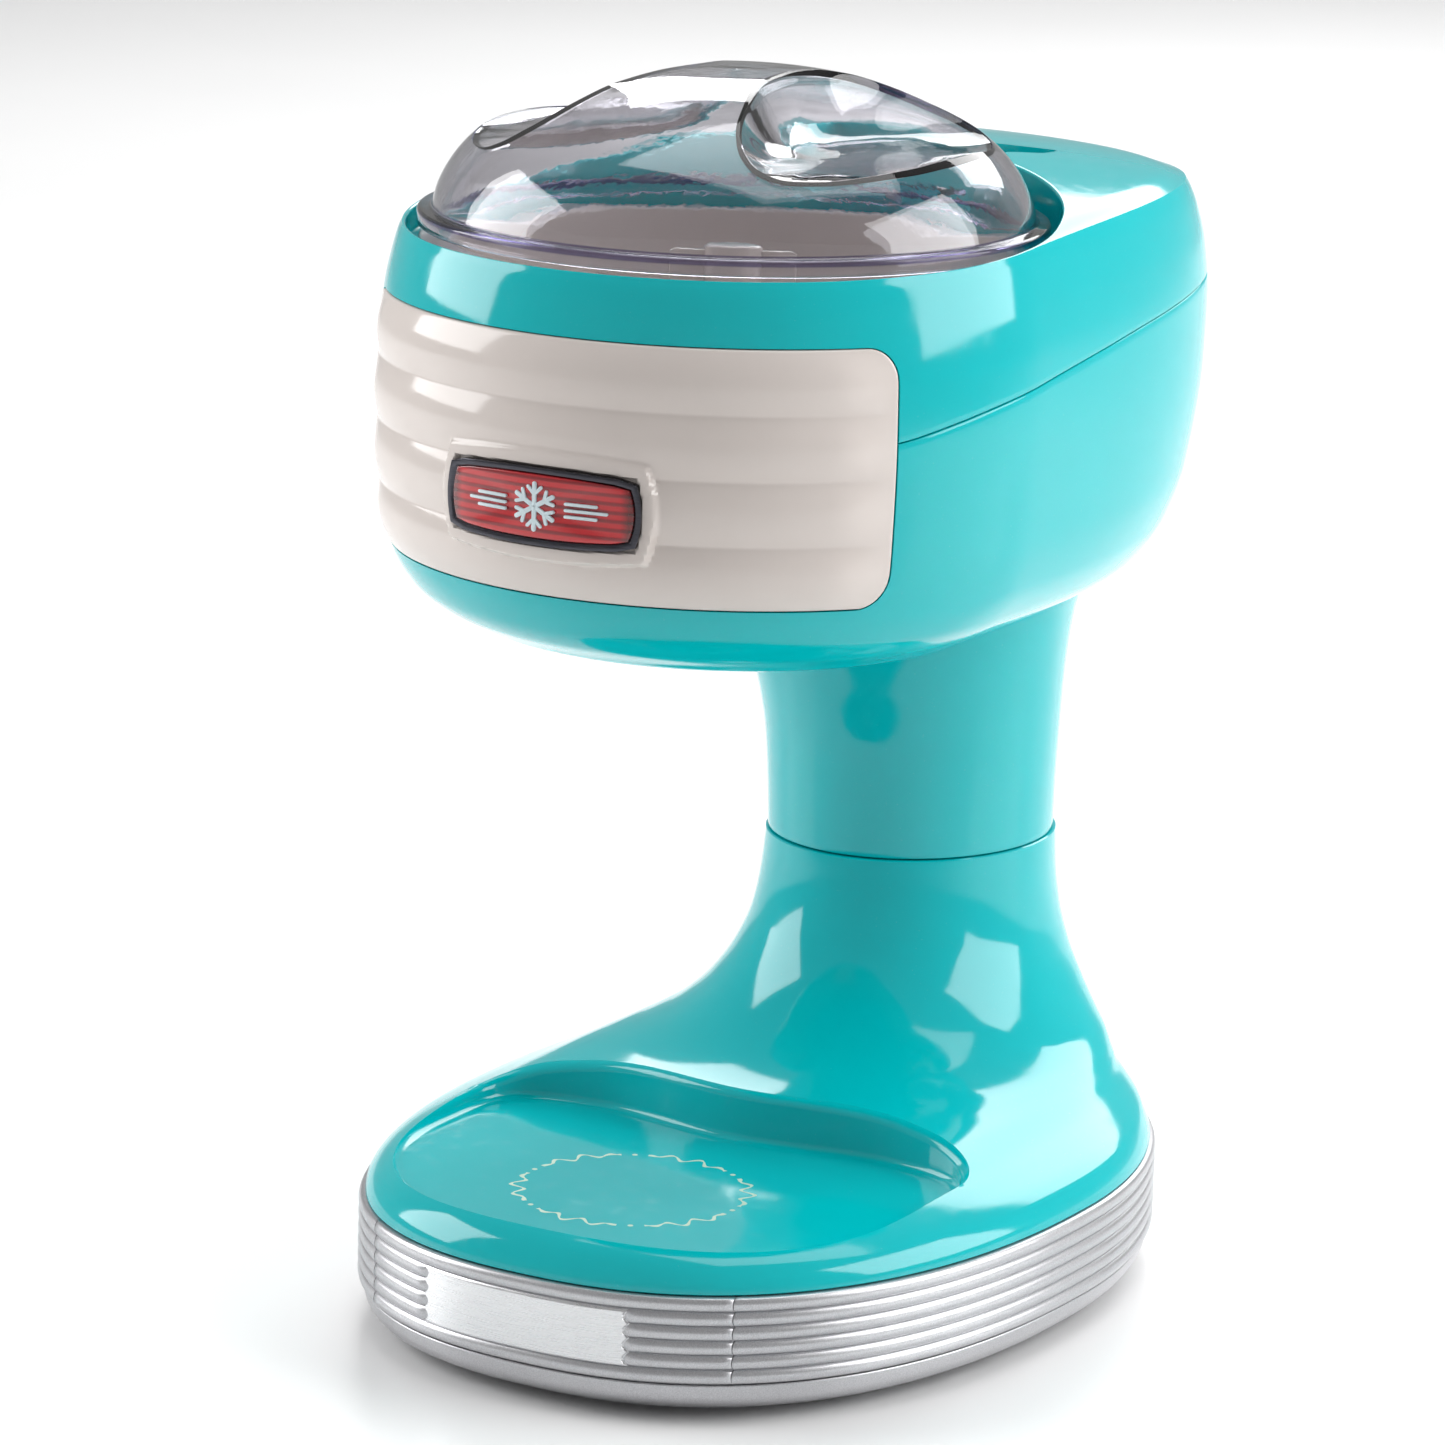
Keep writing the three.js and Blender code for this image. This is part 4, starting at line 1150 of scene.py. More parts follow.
def slab(name: str, outer: Array, inner: Array) -> Piece:
    """Closes two equal grids of points into a curved slab.

    Args:
        name: The piece's name.
        outer: The (rows, columns, 3) points of the outer face.
        inner: The same for the inner face.

    Returns:
        The closed mesh.
    """
    rows, columns = outer.shape[:2]
    points = np.vstack([outer.reshape(-1, 3), inner.reshape(-1, 3)])
    shift = rows * columns
    faces = []
    for r in range(rows - 1):
        for c in range(columns - 1):
            a = r * columns + c
            faces.append((a, a + 1, a + columns + 1, a + columns))
            faces.append((a + shift, a + columns + shift, a + columns + 1 + shift, a + 1 + shift))
    edge = [(0, c) for c in range(columns)] + [(r, columns - 1) for r in range(1, rows)]
    edge += [(rows - 1, c) for c in range(columns - 2, -1, -1)] + [(r, 0) for r in range(rows - 2, 0, -1)]
    loop = [r * columns + c for r, c in edge]
    faces += [(a, b, b + shift, a + shift) for a, b in zip(loop, loop[1:] + loop[:1])]
    return finish_mesh(new_piece(name, points, faces), 40)


# ---------------------------------------------------------------- column


@dataclass
class Column:
    """The upper sleeve of the column, which flares into the head."""

    seam: float = 105.7
    top: float = 182.0
    rows: tuple = (
        (105.4, 36.3, 61, 144.2, 102.5), (118, 36.9, 60.9, 143.4, 102.1), (130, 37.8, 60.6, 142.6, 101.6),
        (150, 40.5, 56.6, 140.4, 98.6), (168, 45, 51.3, 137.6, 94.6), (178, 49.5, 46, 136.4, 92.5),
        (190, 56, 40, 136, 90),
    )

    def ring(self, angles: Array, z: float, offset: float = 0.0, lift: float = 0.0) -> Array:
        """Returns a ring of the sleeve's skin at a height.

        Args:
            angles: Directions in radians, with the rear at a quarter turn.
            z: The height.
            offset: How far the ring is moved outwards, in millimetres.
            lift: How far the ring is raised.

        Returns:
            An (angles, 3) array of points.
        """
        rows = np.array(self.rows)
        half, front, rear, middle = (float(monotone(rows[:, 0], rows[:, c], z)) for c in range(1, 5))
        reach = superellipse(angles, half + offset, middle - front + offset, rear - middle + offset, (2, 2))
        return np.stack([reach * np.cos(angles), middle + reach * np.sin(angles),
                         np.full(len(angles), z + lift)], 1)

    def sleeve(self) -> Piece:
        """Builds the hollow sleeve with a rounded lower lip.

        Returns:
            The finished mesh.
        """
        angles = turn()
        lip = [self.ring(angles, self.seam, off, lift) for off, lift in ((-3, 0), (-0.4, 0), (-0.1, 0.12))]
        outer = [self.ring(angles, z) for z in np.linspace(self.seam + 0.4, self.top, 60)]
        inner = [self.ring(angles, z, -3) for z in np.linspace(self.top, self.seam + 0.6, 12)]
        return loft("column_sleeve_shell", spread([*lip, *outer, *inner]), closed=True)

    def build(self, palette: Palette) -> None:
        """Builds and dresses the sleeve."""
        dress(self.sleeve(), palette.turquoise, Body.HOUSING, "turquoise", "column_sleeve")


# ---------------------------------------------------------------- head


@dataclass
class Head:
    """The head: two shells that meet at a rising seam, the ribbed front panel and its badge."""

    bottom: float = 178.0
    waist: float = 235.0
    crest: float = 276.0
    crest_drop: float = 1.2
    wall: float = 3.4
    well_radius: float = 79.5
    well_floor: float = 270.5
    mouth_radius: float = 72.0
    seam_gap: float = 0.3
    deck_peak: float = 289.0
    deck_peak_y: float = 80.0
    across_fall: float = 0.001
    front_fall: float = 0.0005
    rear_fall: float = 0.0011
    rows: tuple = (
        (178, 57, 122, 2.8), (178.7, 60.6, 126, 2.82), (180.5, 64.4, 130, 2.85), (184, 71.5, 135, 2.9),
        (189, 77.4, 139, 2.9), (197, 82, 142, 3), (210, 84.9, 145, 3.15), (235, 86, 149, 3.3),
        (252, 85.5, 151, 3.3), (262, 84.4, 150, 3.3), (270, 82.7, 147, 3.3), (274, 81.5, 144, 3.3),
        (276, 80.5, 142, 3.3),
    )
    seam_line: tuple = (
        (-140, 234.0), (-60, 235.3), (-45, 237.8), (-33, 240.7), (-18, 243.8), (4, 247.0), (30, 250.3),
        (60, 253.7), (108, 257.4), (200, 261),
    )
    screw_places: tuple = ((-50, 86), (50, 86))

    def deck_height(self, x: Array, y: Array) -> Array:
        """Returns the deck's height: a low crown about a point near the rear."""
        fall = np.where(y < self.deck_peak_y, self.front_fall, self.rear_fall)
        return self.deck_peak - self.across_fall * x * x - fall * (y - self.deck_peak_y) ** 2

    def skin(self, angles: Array, level: Array, offset: float = 0.0) -> Array:
        """Returns a ring of the head's skin.

        Args:
            angles: Directions about the hopper axis.
            level: A nominal height for each angle; above the waist it is stretched to reach the deck.
            offset: How far the skin is moved outwards.

        Returns:
            An (angles, 3) array of points.
        """
        rows = np.array(self.rows)
        level = np.broadcast_to(level, angles.shape).astype(float)
        half, rear, power = (monotone(rows[:, 0], rows[:, c], level) for c in range(1, 4))
        reach = superellipse(angles, half + offset, half + offset, rear + offset, (2.0, power))
        x, y = reach * np.cos(angles), reach * np.sin(angles)
        crest = self.deck_height(x, y) - self.crest_drop
        rise = np.maximum(0, level - self.waist) * (crest - self.waist) / (self.crest - self.waist)
        return np.stack([x, y, np.minimum(level, self.waist) + rise], 1)

    def seam_level(self, angles: Array, lift: float) -> Array:
        """Returns the nominal level at which the skin reaches the seam.

        Args:
            angles: Directions in radians, with the rear at a quarter turn.
            lift: How far above the seam, or below it where negative.

        Returns:
            A level for each angle.
        """
        ys, zs = zip(*self.seam_line)
        level = np.full(angles.shape, 250.0)
        for _ in range(8):
            ring = self.skin(angles, level)
            goal = monotone(ys, zs, ring[:, 1]) + lift
            crest = self.deck_height(ring[:, 0], ring[:, 1]) - self.crest_drop
            level = self.waist + (goal - self.waist) * (self.crest - self.waist) / (crest - self.waist)
        return level

    def fit_panel(self, shell: Piece) -> Piece:
        """Cuts the panel's seat out of a shell, with a hairline round the panel."""
        return combine(shell, Panel(self).seat(0.28), Cut.TAKE_AWAY)

    def lower_shell(self) -> Piece:
        """Builds the lower shell with its outlet, screw bores and panel seat.

        Returns:
            The finished mesh.
        """
        angles = turn()
        edge = self.seam_level(angles, -self.seam_gap / 2)
        base = self.skin(angles, self.bottom)
        rings = [base * [s, s, 1] for s in (0.02, 0.3, 0.6, 0.85, 0.95)]
        share = np.linspace(0, 1, 62) ** 1.35
        rings += [self.skin(angles, self.bottom + (edge - 0.35 - self.bottom) * s) for s in share]
        rings += [self.skin(angles, edge - drop, off)
                  for drop, off in ((0.16, -0.06), (0.04, -0.2), (0, -0.45))]
        rings += [self.skin(angles, edge, -self.wall)]
        low = self.bottom + self.wall
        rings += [self.skin(angles, low + (edge - low) * s, -self.wall) for s in np.linspace(0.96, 0.0, 16)]
        inner = rings[-1]
        rings += [inner * [s, s, 1] for s in (0.6, 0.02)]
        shell = loft("head_lower_shell_skin", spread(rings))
        outlet = rounded_box_outline(17.4, 9.4, 2.5) + np.array([0, -47.0])
        combine(shell, prism("outlet", outlet, 170, 190), Cut.TAKE_AWAY)
        bore_profile = rounded([(0.01, 170, 0), (4.6, 170, 0), (3.9, 179.4, 0.2), (3.9, 186, 0), (0.01, 186, 0)])
        for x, y in self.screw_places:
            combine(shell, lathe("bore", bore_profile, False, y, x, 40), Cut.TAKE_AWAY)
        return finish_mesh(self.fit_panel(shell))

    def upper_shell(self) -> Piece:
        """Builds the upper shell: side, crest, deck, lid well, floor and mouth, then back inside.

        Returns:
            The finished mesh.
        """
        angles = turn()
        edge = self.seam_level(angles, self.seam_gap / 2)
        rings = [self.skin(angles, edge, -self.wall)]
        rings += [self.skin(angles, edge + rise, off)
                  for rise, off in ((0, -0.45), (0.04, -0.2), (0.16, -0.06))]
        start = edge + 0.35
        easing = np.sin(np.linspace(0, math.pi / 2, 44))
        rings += [self.skin(angles, start + (self.crest - start) * s) for s in easing]
        rings += self.deck_rings(angles, rings[-1])
        rings += self.well_rings(angles)
        inner_top = self.skin(angles, self.crest - 8, -self.wall)
        inner_top[:, 2] -= self.wall * 0.6
        rings.append(inner_top)
        back = np.linspace(0.85, 0.1, 8)
        rings += [self.skin(angles, edge + (self.crest - 8 - edge) * s, -self.wall) for s in back]
        shell = loft("head_upper_shell_skin", spread(rings), closed=True)
        combine(shell, self.latch_pocket(), Cut.TAKE_AWAY)
        return finish_mesh(self.fit_panel(shell), 36)

    def deck_rings(self, angles: Array, edge: Array) -> list[Array]:
        """Returns rings from the crest inwards over the deck to the lid well's lip.

        Args:
            angles: Directions in radians, with the rear at a quarter turn.
            edge: The crest's ring.

        Returns:
            The rings in order.
        """
        reach = np.hypot(edge[:, 0], edge[:, 1])
        lip = 0.7
        made = []
        for share in 1 - (1 - np.linspace(0, 1, 30)[1:]) ** 1.6:
            radius = reach + (self.well_radius + lip - reach) * share
            x, y = radius * np.cos(angles), radius * np.sin(angles)
            drop = self.crest_drop * (1 - smooth_step((reach - radius) / 11)) ** 2
            made.append(np.stack([x, y, self.deck_height(x, y) - drop], 1))
        deck_end = made[-1]
        for bend in np.linspace(0, math.pi / 2, 6)[1:]:
            radius = self.well_radius + lip * (1 - math.sin(bend))
            ring = deck_end.copy()
            ring[:, 0], ring[:, 1] = radius * np.cos(angles), radius * np.sin(angles)
            ring[:, 2] -= lip * (1 - math.cos(bend))
            made.append(ring)
        return made

    def well_rings(self, angles: Array) -> list[Array]:
        """Returns rings down the lid well's wall, over its floor, round the mouth and back outwards.

        Args:
            angles: Directions in radians, with the rear at a quarter turn.

        Returns:
            The rings in order.
        """
        floor, thick = self.well_floor, 2.6
        profile = rounded([
            (self.well_radius, floor + 3, 0), (self.well_radius, floor, 0.8), (self.mouth_radius, floor, 0.8),
            (self.mouth_radius, floor - thick, 0.8), (self.well_radius - 1.0, floor - thick, 0)])
        return [np.stack([r * np.cos(angles), r * np.sin(angles), np.full(len(angles), z)], 1) for r, z in profile]

    def latch_pocket(self) -> Piece:
        """Builds the space behind the lid for its tongue, with a hooked point at its right end.

        Returns:
            The finished mesh.
        """
        outline = rounded([
            (-27, 60, 0), (-27, 93, 5), (20, 93, 6), (27, 96, 3), (37, 100.5, 1.2), (36.5, 91, 4), (30, 84, 4),
            (30, 60, 0)])
        rings = []
        for z, grow in ((276.4, -0.6), (276.9, 0), (286.4, 0), (287.6, 0.25), (288.4, 0.8), (294, 3)):
            centre = outline.mean(0)
            away = outline - centre
            scale = 1 + grow / np.linalg.norm(away, axis=1, keepdims=True)
            rings.append(np.column_stack([centre + away * scale, np.full(len(outline), z)]))
        return loft("latch_pocket", spread(rings))

    def build(self, palette: Palette) -> None:
        """Builds and dresses the two shells, then the panel and the badge.

        Args:
            palette: The finishes.
        """
        dress(self.lower_shell(), palette.turquoise, Body.HOUSING, "turquoise", "head_lower_shell")
        dress(self.upper_shell(), palette.turquoise, Body.HOUSING, "turquoise", "head_upper_shell")
        Panel(self).build(palette)


def rounded_box_outline(half_x: float, half_y: float, radius: float) -> Array:
    """Returns the plan outline of a rounded rectangle about the origin.

    Args:
        half_x: Half the width.
        half_y: Half the depth.
        radius: The corners' radius.

    Returns:
        An (n, 2) array of points.
    """
    corners = [
        (0, -half_y, 0), (half_x, -half_y, radius), (half_x, half_y, radius), (-half_x, half_y, radius),
        (-half_x, -half_y, radius), (0, -half_y, 0)]
    return rounded(corners)[:-1]


@dataclass
class Panel:
    """The ribbed cream panel with its raised badge boss, the badge's frame, lacquer and emblem."""

    head: Head
    bottom: float = 198.0
    top: float = 260.0
    half_degrees: float = 57.3
    corner: float = 8.0
    ribs: int = 4
    rib_depth: float = 1.5
    proud: float = 0.05
    badge_z: float = 220.5
    badge_half: float = 25.5
    badge_rise: float = 9.3
    boss_margin: float = 3.9
    badge_radius: float = 89.2
    wrap_radius: float = 86.0

    def rib(self, z: Array) -> Array:
        """Returns the ribs' height: broad crests parted by narrow valleys."""
        pitch = (self.top - self.bottom) / self.ribs
        return np.abs(np.sin(math.pi * (z - self.bottom) / pitch)) ** 0.85

    def badge_distance(self, across: Array, z: Array) -> Array:
        """Returns how far a point of the unrolled panel lies outside the badge's barrel outline.

        Args:
            across: Distance along the front, positive to the right.
            z: The height.

        Returns:
            The distance for each point, negative inside.
        """
        u, v = across / self.badge_half, (z - self.badge_z) / self.badge_rise
        width = 1 - 0.055 * v * v
        height = 1 - 0.10 * u * u
        return np.maximum(np.abs(u / width) * self.badge_half - self.badge_half,
                          np.abs(v / height) * self.badge_rise - self.badge_rise)

    def barrel(self, margin: float, count: int = 48) -> Array:
        """Returns the badge's outline as (across, z) points, moved outwards by a margin.

        Args:
            margin: How far outwards.
            count: Points along the two long sides together.

        Returns:
            An (n, 2) array of points.
        """
        w, h = self.badge_half + margin, self.badge_rise + margin
        bow = 1.1
        side = np.linspace(-1, 1, count // 2)
        top = [(w * 0.985 * t, h - bow * t * t, 0) for t in -side]
        low = [(w * 0.985 * t, -h + bow * t * t, 0) for t in side]
        right = [(w + 0.6 - 1.2 * t * t, h * 0.8 * t, 0) for t in np.linspace(-1, 1, 9)]
        left = [(-x, -z, 0) for x, z, _ in right]
        points = np.array([p[:2] for p in low[2:-2] + right + top[2:-2] + left])
        return points + np.array([0.0, self.badge_z])

    def surface(self, across: Array, z: Array, rise: Array) -> Array:
        """Wraps unrolled points round the head's front.

        Args:
            across: Distance along the front in millimetres, positive to the right.
            z: Height.
            rise: Height over the head's skin.

        Returns:
            The points in millimetres about the hopper axis.
        """
        rows = np.array(self.head.rows)
        radius = monotone(rows[:, 0], rows[:, 1], z)
        angle = across / self.wrap_radius
        distance = radius + rise
        return np.stack([distance * np.sin(angle), -distance * np.cos(angle), z], -1)

    def seat(self, gap: float) -> Piece:
        """Builds the space that the panel and a gap round it take out of the head.

        Args:
            gap: The gap round the panel.

        Returns:
            The finished mesh.
        """
        half = math.radians(self.half_degrees) * self.wrap_radius + gap
        corner = self.corner + gap
        ease = np.array([0, 0.15, 0.4, 0.8, 1.4, 2.2, 3.4, 5.0, 7.0])
        low, high = self.bottom - gap, self.top + gap
        z = np.concatenate([low + ease, np.linspace(low + 9, high - 9, 12), high - ease[::-1]])
        inset = np.minimum(z - low, high - z)
        cut = np.where(inset < corner, corner - np.sqrt(np.maximum(0, corner**2 - (corner - inset) ** 2)), 0)
        across = np.linspace(-1, 1, 121)[None] * (half - cut)[:, None]
        height = np.repeat(z[:, None], 121, 1)
        outer = self.surface(across, height, np.full(across.shape, 4.0))
        inner = self.surface(across, height, np.full(across.shape, -1.9))
        return slab("panel_seat", outer, inner)

    def plate(self) -> Piece:
        """Builds the panel: ribs, rounded corners, rolled edges and the badge's boss.

        Returns:
            The finished mesh.
        """
        half = math.radians(self.half_degrees) * self.wrap_radius
        edge = np.array([0, 0.12, 0.35, 0.7, 1.1, 1.6, 2.3, 3.2, 4.4, 6.0, 8.0])
        middle = np.linspace(self.bottom + 9, self.top - 9, 118)
        z = np.concatenate([self.bottom + edge, middle, self.top - edge[::-1]])
        flat = np.linspace(-half + 9, half - 9, 240)
        u = np.concatenate([-half + edge, flat, half - edge[::-1]])
        inset = np.minimum(z - self.bottom, self.top - z)
        cut = np.where(inset < self.corner,
                       self.corner - np.sqrt(np.maximum(0, self.corner**2 - (self.corner - inset) ** 2)), 0)
        across = u[None] * ((half - cut) / half)[:, None]
        height = np.repeat(z[:, None], len(u), 1)
        side = (half - cut)[:, None] - np.abs(across)
        border = np.minimum(side, inset[:, None])
        fade = smooth_step(side / 16)
        ribs = self.proud + self.rib_depth * self.rib(z)[:, None] * fade
        boss = self.badge_distance(across, height)
        top_of_boss = self.badge_radius - 1.0 - monotone(*np.array(self.head.rows).T[:2], height)
        share = smooth_step((self.boss_margin + 0.6 - boss) / 1.5)
        rise = ribs + (np.maximum(top_of_boss, ribs + 0.2) - ribs) * share
        seat = smooth_step((0.5 - boss) / 0.5)
        rise = rise - 1.3 * seat
        roll = 0.5
        rolled = np.where(border < roll, roll - np.sqrt(np.maximum(0, roll**2 - (roll - border) ** 2)), 0)
        outer = self.surface(across, height, rise - rolled)
        inner = self.surface(across, height, np.full(across.shape, -1.4))
        return slab("front_panel_ribbed", outer, inner)

    def raised(self, name: str, outline: Array, low: float, high: float, roll: float) -> Piece:
        """Raises an unrolled outline round the front, between two radii, with a rolled outer edge.

        Args:
            name: The piece's name.
            outline: The unrolled outline as (across, z) points.
            low: The inner radius.
            high: The outer radius.
            roll: The rolled edge's radius.

        Returns:
            The finished mesh.
        """
        centre = outline.mean(0)
        away = outline - centre
        size = np.linalg.norm(away, axis=1, keepdims=True)
        rings = []
        steps = [(0.0, low)] + [(roll * (1 - math.cos(b)), high - roll + roll * math.sin(b))
                                for b in np.linspace(0, math.pi / 2, 6)]
        steps += [(s, high) for s in (2.0, 5.0)]
        for inset, radius in steps:
            flat = centre + away * (1 - np.minimum(inset / size, 0.97))
            rings.append(self.at_radius(flat, radius))
        middle = centre + away * 0.05
        rings.append(self.at_radius(middle, high))
        rings.insert(0, self.at_radius(middle, low))
        return loft(name, spread(rings))

    def at_radius(self, flat: Array, radius: float) -> Array:
        """Wraps unrolled points onto a cylinder about the hopper axis."""
        angle = flat[:, 0] / self.wrap_radius
        return np.stack([radius * np.sin(angle), -radius * np.cos(angle), flat[:, 1]], 1)

    def bezel(self) -> Piece:
        """Builds the badge's dark plated frame.

        Returns:
            The finished mesh.
        """
        outer, inner = self.barrel(0.0), self.barrel(-1.8)
        r = self.badge_radius
        eased = outer * 0.5 + self.barrel(-0.2) * 0.5
        section = (
            (outer, r - 2), (outer, r - 0.5), (eased, r - 0.1), (self.barrel(-0.5), r),
            (self.barrel(-1.3), r - 0.15), (inner, r - 0.7), (inner, r - 2))
        rings = [self.at_radius(outline, radius) for outline, radius in section]
        return loft("badge_frame", spread(rings), closed=True)

    def lacquer(self) -> Piece:
        """Builds the badge's domed red plate."""
        low, high = self.badge_radius - 1.9, self.badge_radius - 0.25
        return self.raised("badge_lacquer", self.barrel(-1.7), low, high, 0.5)

    def emblem(self) -> Piece:
        """Builds a plain six-armed ice crystal with two speed bars at each side.

        Returns:
            The finished mesh.
        """
        bars = []
        for arm in range(6):
            bars.append(((0, 0), (0, 5.4), 0.55, arm * math.pi / 3))
            bars.append(((0, 2.9), (1.7, 4.6), 0.42, arm * math.pi / 3))
            bars.append(((0, 2.9), (-1.7, 4.6), 0.42, arm * math.pi / 3))
        for side in (-1, 1):
            for row, reach in ((1.5, 15.5), (0.0, 18.0), (-1.5, 15.5)):
                bars.append(((side * 8.0, row), (side * reach, row), 0.36, 0.0))
        made = [self.bar(np.array(start), np.array(end), width, angle) for start, end, width, angle in bars]
        return joined("badge_emblem", made)

    def bar(self, start: Array, end: Array, width: float, angle: float) -> Piece:
        """Builds one round-ended raised bar of the emblem, turned about the badge's middle.

        Args:
            start: The middle of one end.
            end: The middle of the other end.
            width: Half its width.
            angle: Its turn in radians.

        Returns:
            The finished mesh.
        """
        along = (end - start) / np.linalg.norm(end - start)
        normal = np.array([-along[1], along[0]])
        arc = np.linspace(-math.pi / 2, math.pi / 2, 9)
        far = [end + width * (math.cos(a) * along + math.sin(a) * normal) for a in arc]
        near = [start - width * (math.cos(a) * along + math.sin(a) * normal) for a in arc]
        c, s = math.cos(angle), math.sin(angle)
        outline = np.array(far + near) @ np.array([[c, s], [-s, c]]) + np.array([0.0, self.badge_z])
        centre = outline.mean(0)
        r = self.badge_radius
        rings = [self.at_radius(outline, r - 0.5), self.at_radius(outline, r + 0.05),
                 self.at_radius(centre + (outline - centre) * 0.9, r + 0.18)]
        return loft("bar", spread(rings))

    def build(self, palette: Palette) -> None:
        """Builds and dresses the panel and the badge.

        Args:
            palette: The finishes.
        """
        dress(self.plate(), palette.cream, Body.HOUSING, "cream", "front_panel")
        dress(self.bezel(), palette.plated, Body.HOUSING, "dark_chrome", "badge_bezel")
        dress(self.lacquer(), palette.red, Body.HOUSING, "red", "badge_plate")
        dress(self.emblem(), palette.emblem, Body.HOUSING, "cream")


# ---------------------------------------------------------------- hopper, impeller and outlet


@dataclass
class Hopper:
    """The ice hopper with its blade window, the impeller in it and the outlet under it."""

    rim: float = 272.6
    flange: float = 76.5
    mouth: float = 71.4
    floor: float = 209.2
    floor_radius: float = 63.5
    wall: float = 2.2
    hub_bottom: float = 210.0
    hub_top: float = 273.5
    fin: tuple = (15.4, 1.8, 271.0, 2.2)
    paddle: tuple = (57.0, 2.2, 223.0, 4.5)
    fin_turn: float = 30.0

    def bowl(self) -> Piece:
        """Builds the bowl: rolled rim, tapered wall, filleted floor and the blade's slot.

        Returns:
            The finished mesh.
        """
        corners = [
            (6.5, self.floor - self.wall, 0), (self.floor_radius, self.floor - self.wall, 4),
            (self.mouth, self.rim - 6, 2), (self.mouth, self.rim - 1.8, 0.6), (self.flange, self.rim - 1.8, 0.4),
            (self.flange, self.rim, 0.7), (self.mouth - self.wall, self.rim, 1.0),
            (self.mouth - self.wall, self.rim - 6, 2), (self.floor_radius - self.wall, self.floor, 5),
            (6.5, self.floor, 0)]
        bowl = lathe("hopper_bowl", rounded(corners), True, sides=SIDES)
        slot = soften(block("slot", (-9, -60, 200), (9, -40, 215)), 1.0)
        return finish_mesh(combine(bowl, slot, Cut.TAKE_AWAY))

    def impeller(self) -> Piece:
        """Builds the impeller: a capped hub, two rounded fins and two low sweeping paddles.

        Returns:
            The finished mesh.
        """
        profile = rounded([
            (0.01, self.hub_bottom, 0), (8.4, self.hub_bottom, 0.4), (7.15, 222, 1),
            (7.15, self.hub_top, 1.1), (0.01, self.hub_top, 0)])
        hub = lathe("hub", profile, False, sides=72)
        combine(hub, self.bar(*self.fin), Cut.ADD)
        combine(hub, self.bar(*self.paddle), Cut.ADD)
        socket = lathe("socket", np.array([(0.01, 205), (5.3, 205), (5.3, 217), (0.01, 217)]), False, sides=48)
        combine(hub, socket, Cut.TAKE_AWAY)
        hub.name = "impeller_turned"
        turned_by = Matrix.Rotation(math.radians(self.fin_turn), 4, "Z")
        axis = Matrix.Translation((0, AXIS_Y, 0))
        hub.data.transform(axis @ turned_by @ axis.inverted())
        return finish_mesh(hub)

    def bar(self, half_length: float, half_width: float, top: float, radius: float) -> Piece:
        """Builds a fin through the axis with rounded upper corners and softened edges.

        Args:
            half_length: Half its length.
            half_width: Half its thickness.
            top: The height of its top.
            radius: The upper corners' radius.

        Returns:
            The finished mesh.
        """
        side = rounded([
            (-half_length, self.hub_bottom, 0), (-half_length, top, radius), (half_length, top, radius),
            (half_length, self.hub_bottom, 0)], 8)
        rings = [np.column_stack([side[:, 0], np.full(len(side), y), side[:, 1]])
                 for y in (-half_width, half_width)]
        return soften(loft("fin", spread(rings), sharp_degrees=20), 0.5, 3, 60)

    def outlet(self) -> Piece:
        """Builds the outlet duct with rounded corners and an eased lower lip.

        Returns:
            The finished mesh.
        """
        steps = [(17.0, 9.0, -47.0, 178.1), (17.0, 9.0, -47.0, 184.0), (14.5, 11.7, -49.3, 204.2)]
        rings = []
        for half_x, half_y, y, z in steps:
            rings.append(level_ring(rounded_box_outline(half_x, half_y, 2.2) + [0, y], z))
        for half_x, half_y, y, z in steps[::-1]:
            rings.append(level_ring(rounded_box_outline(half_x - 1.8, half_y - 1.8, 1.4) + [0, y], z))
        return soften(loft("outlet_duct", spread(rings), closed=True), 0.4, 2, 60)

    def build(self, palette: Palette) -> None:
        """Builds and dresses the bowl, the impeller and the outlet.

        Args:
            palette: The finishes.
        """
        dress(self.bowl(), palette.cream, Body.HOUSING, "cream", "hopper")
        dress(self.impeller(), palette.cream, Body.DRIVE, "cream", "impeller")
        dress(self.outlet(), palette.cream, Body.HOUSING, "cream", "ice_chute")


# ---------------------------------------------------------------- lid


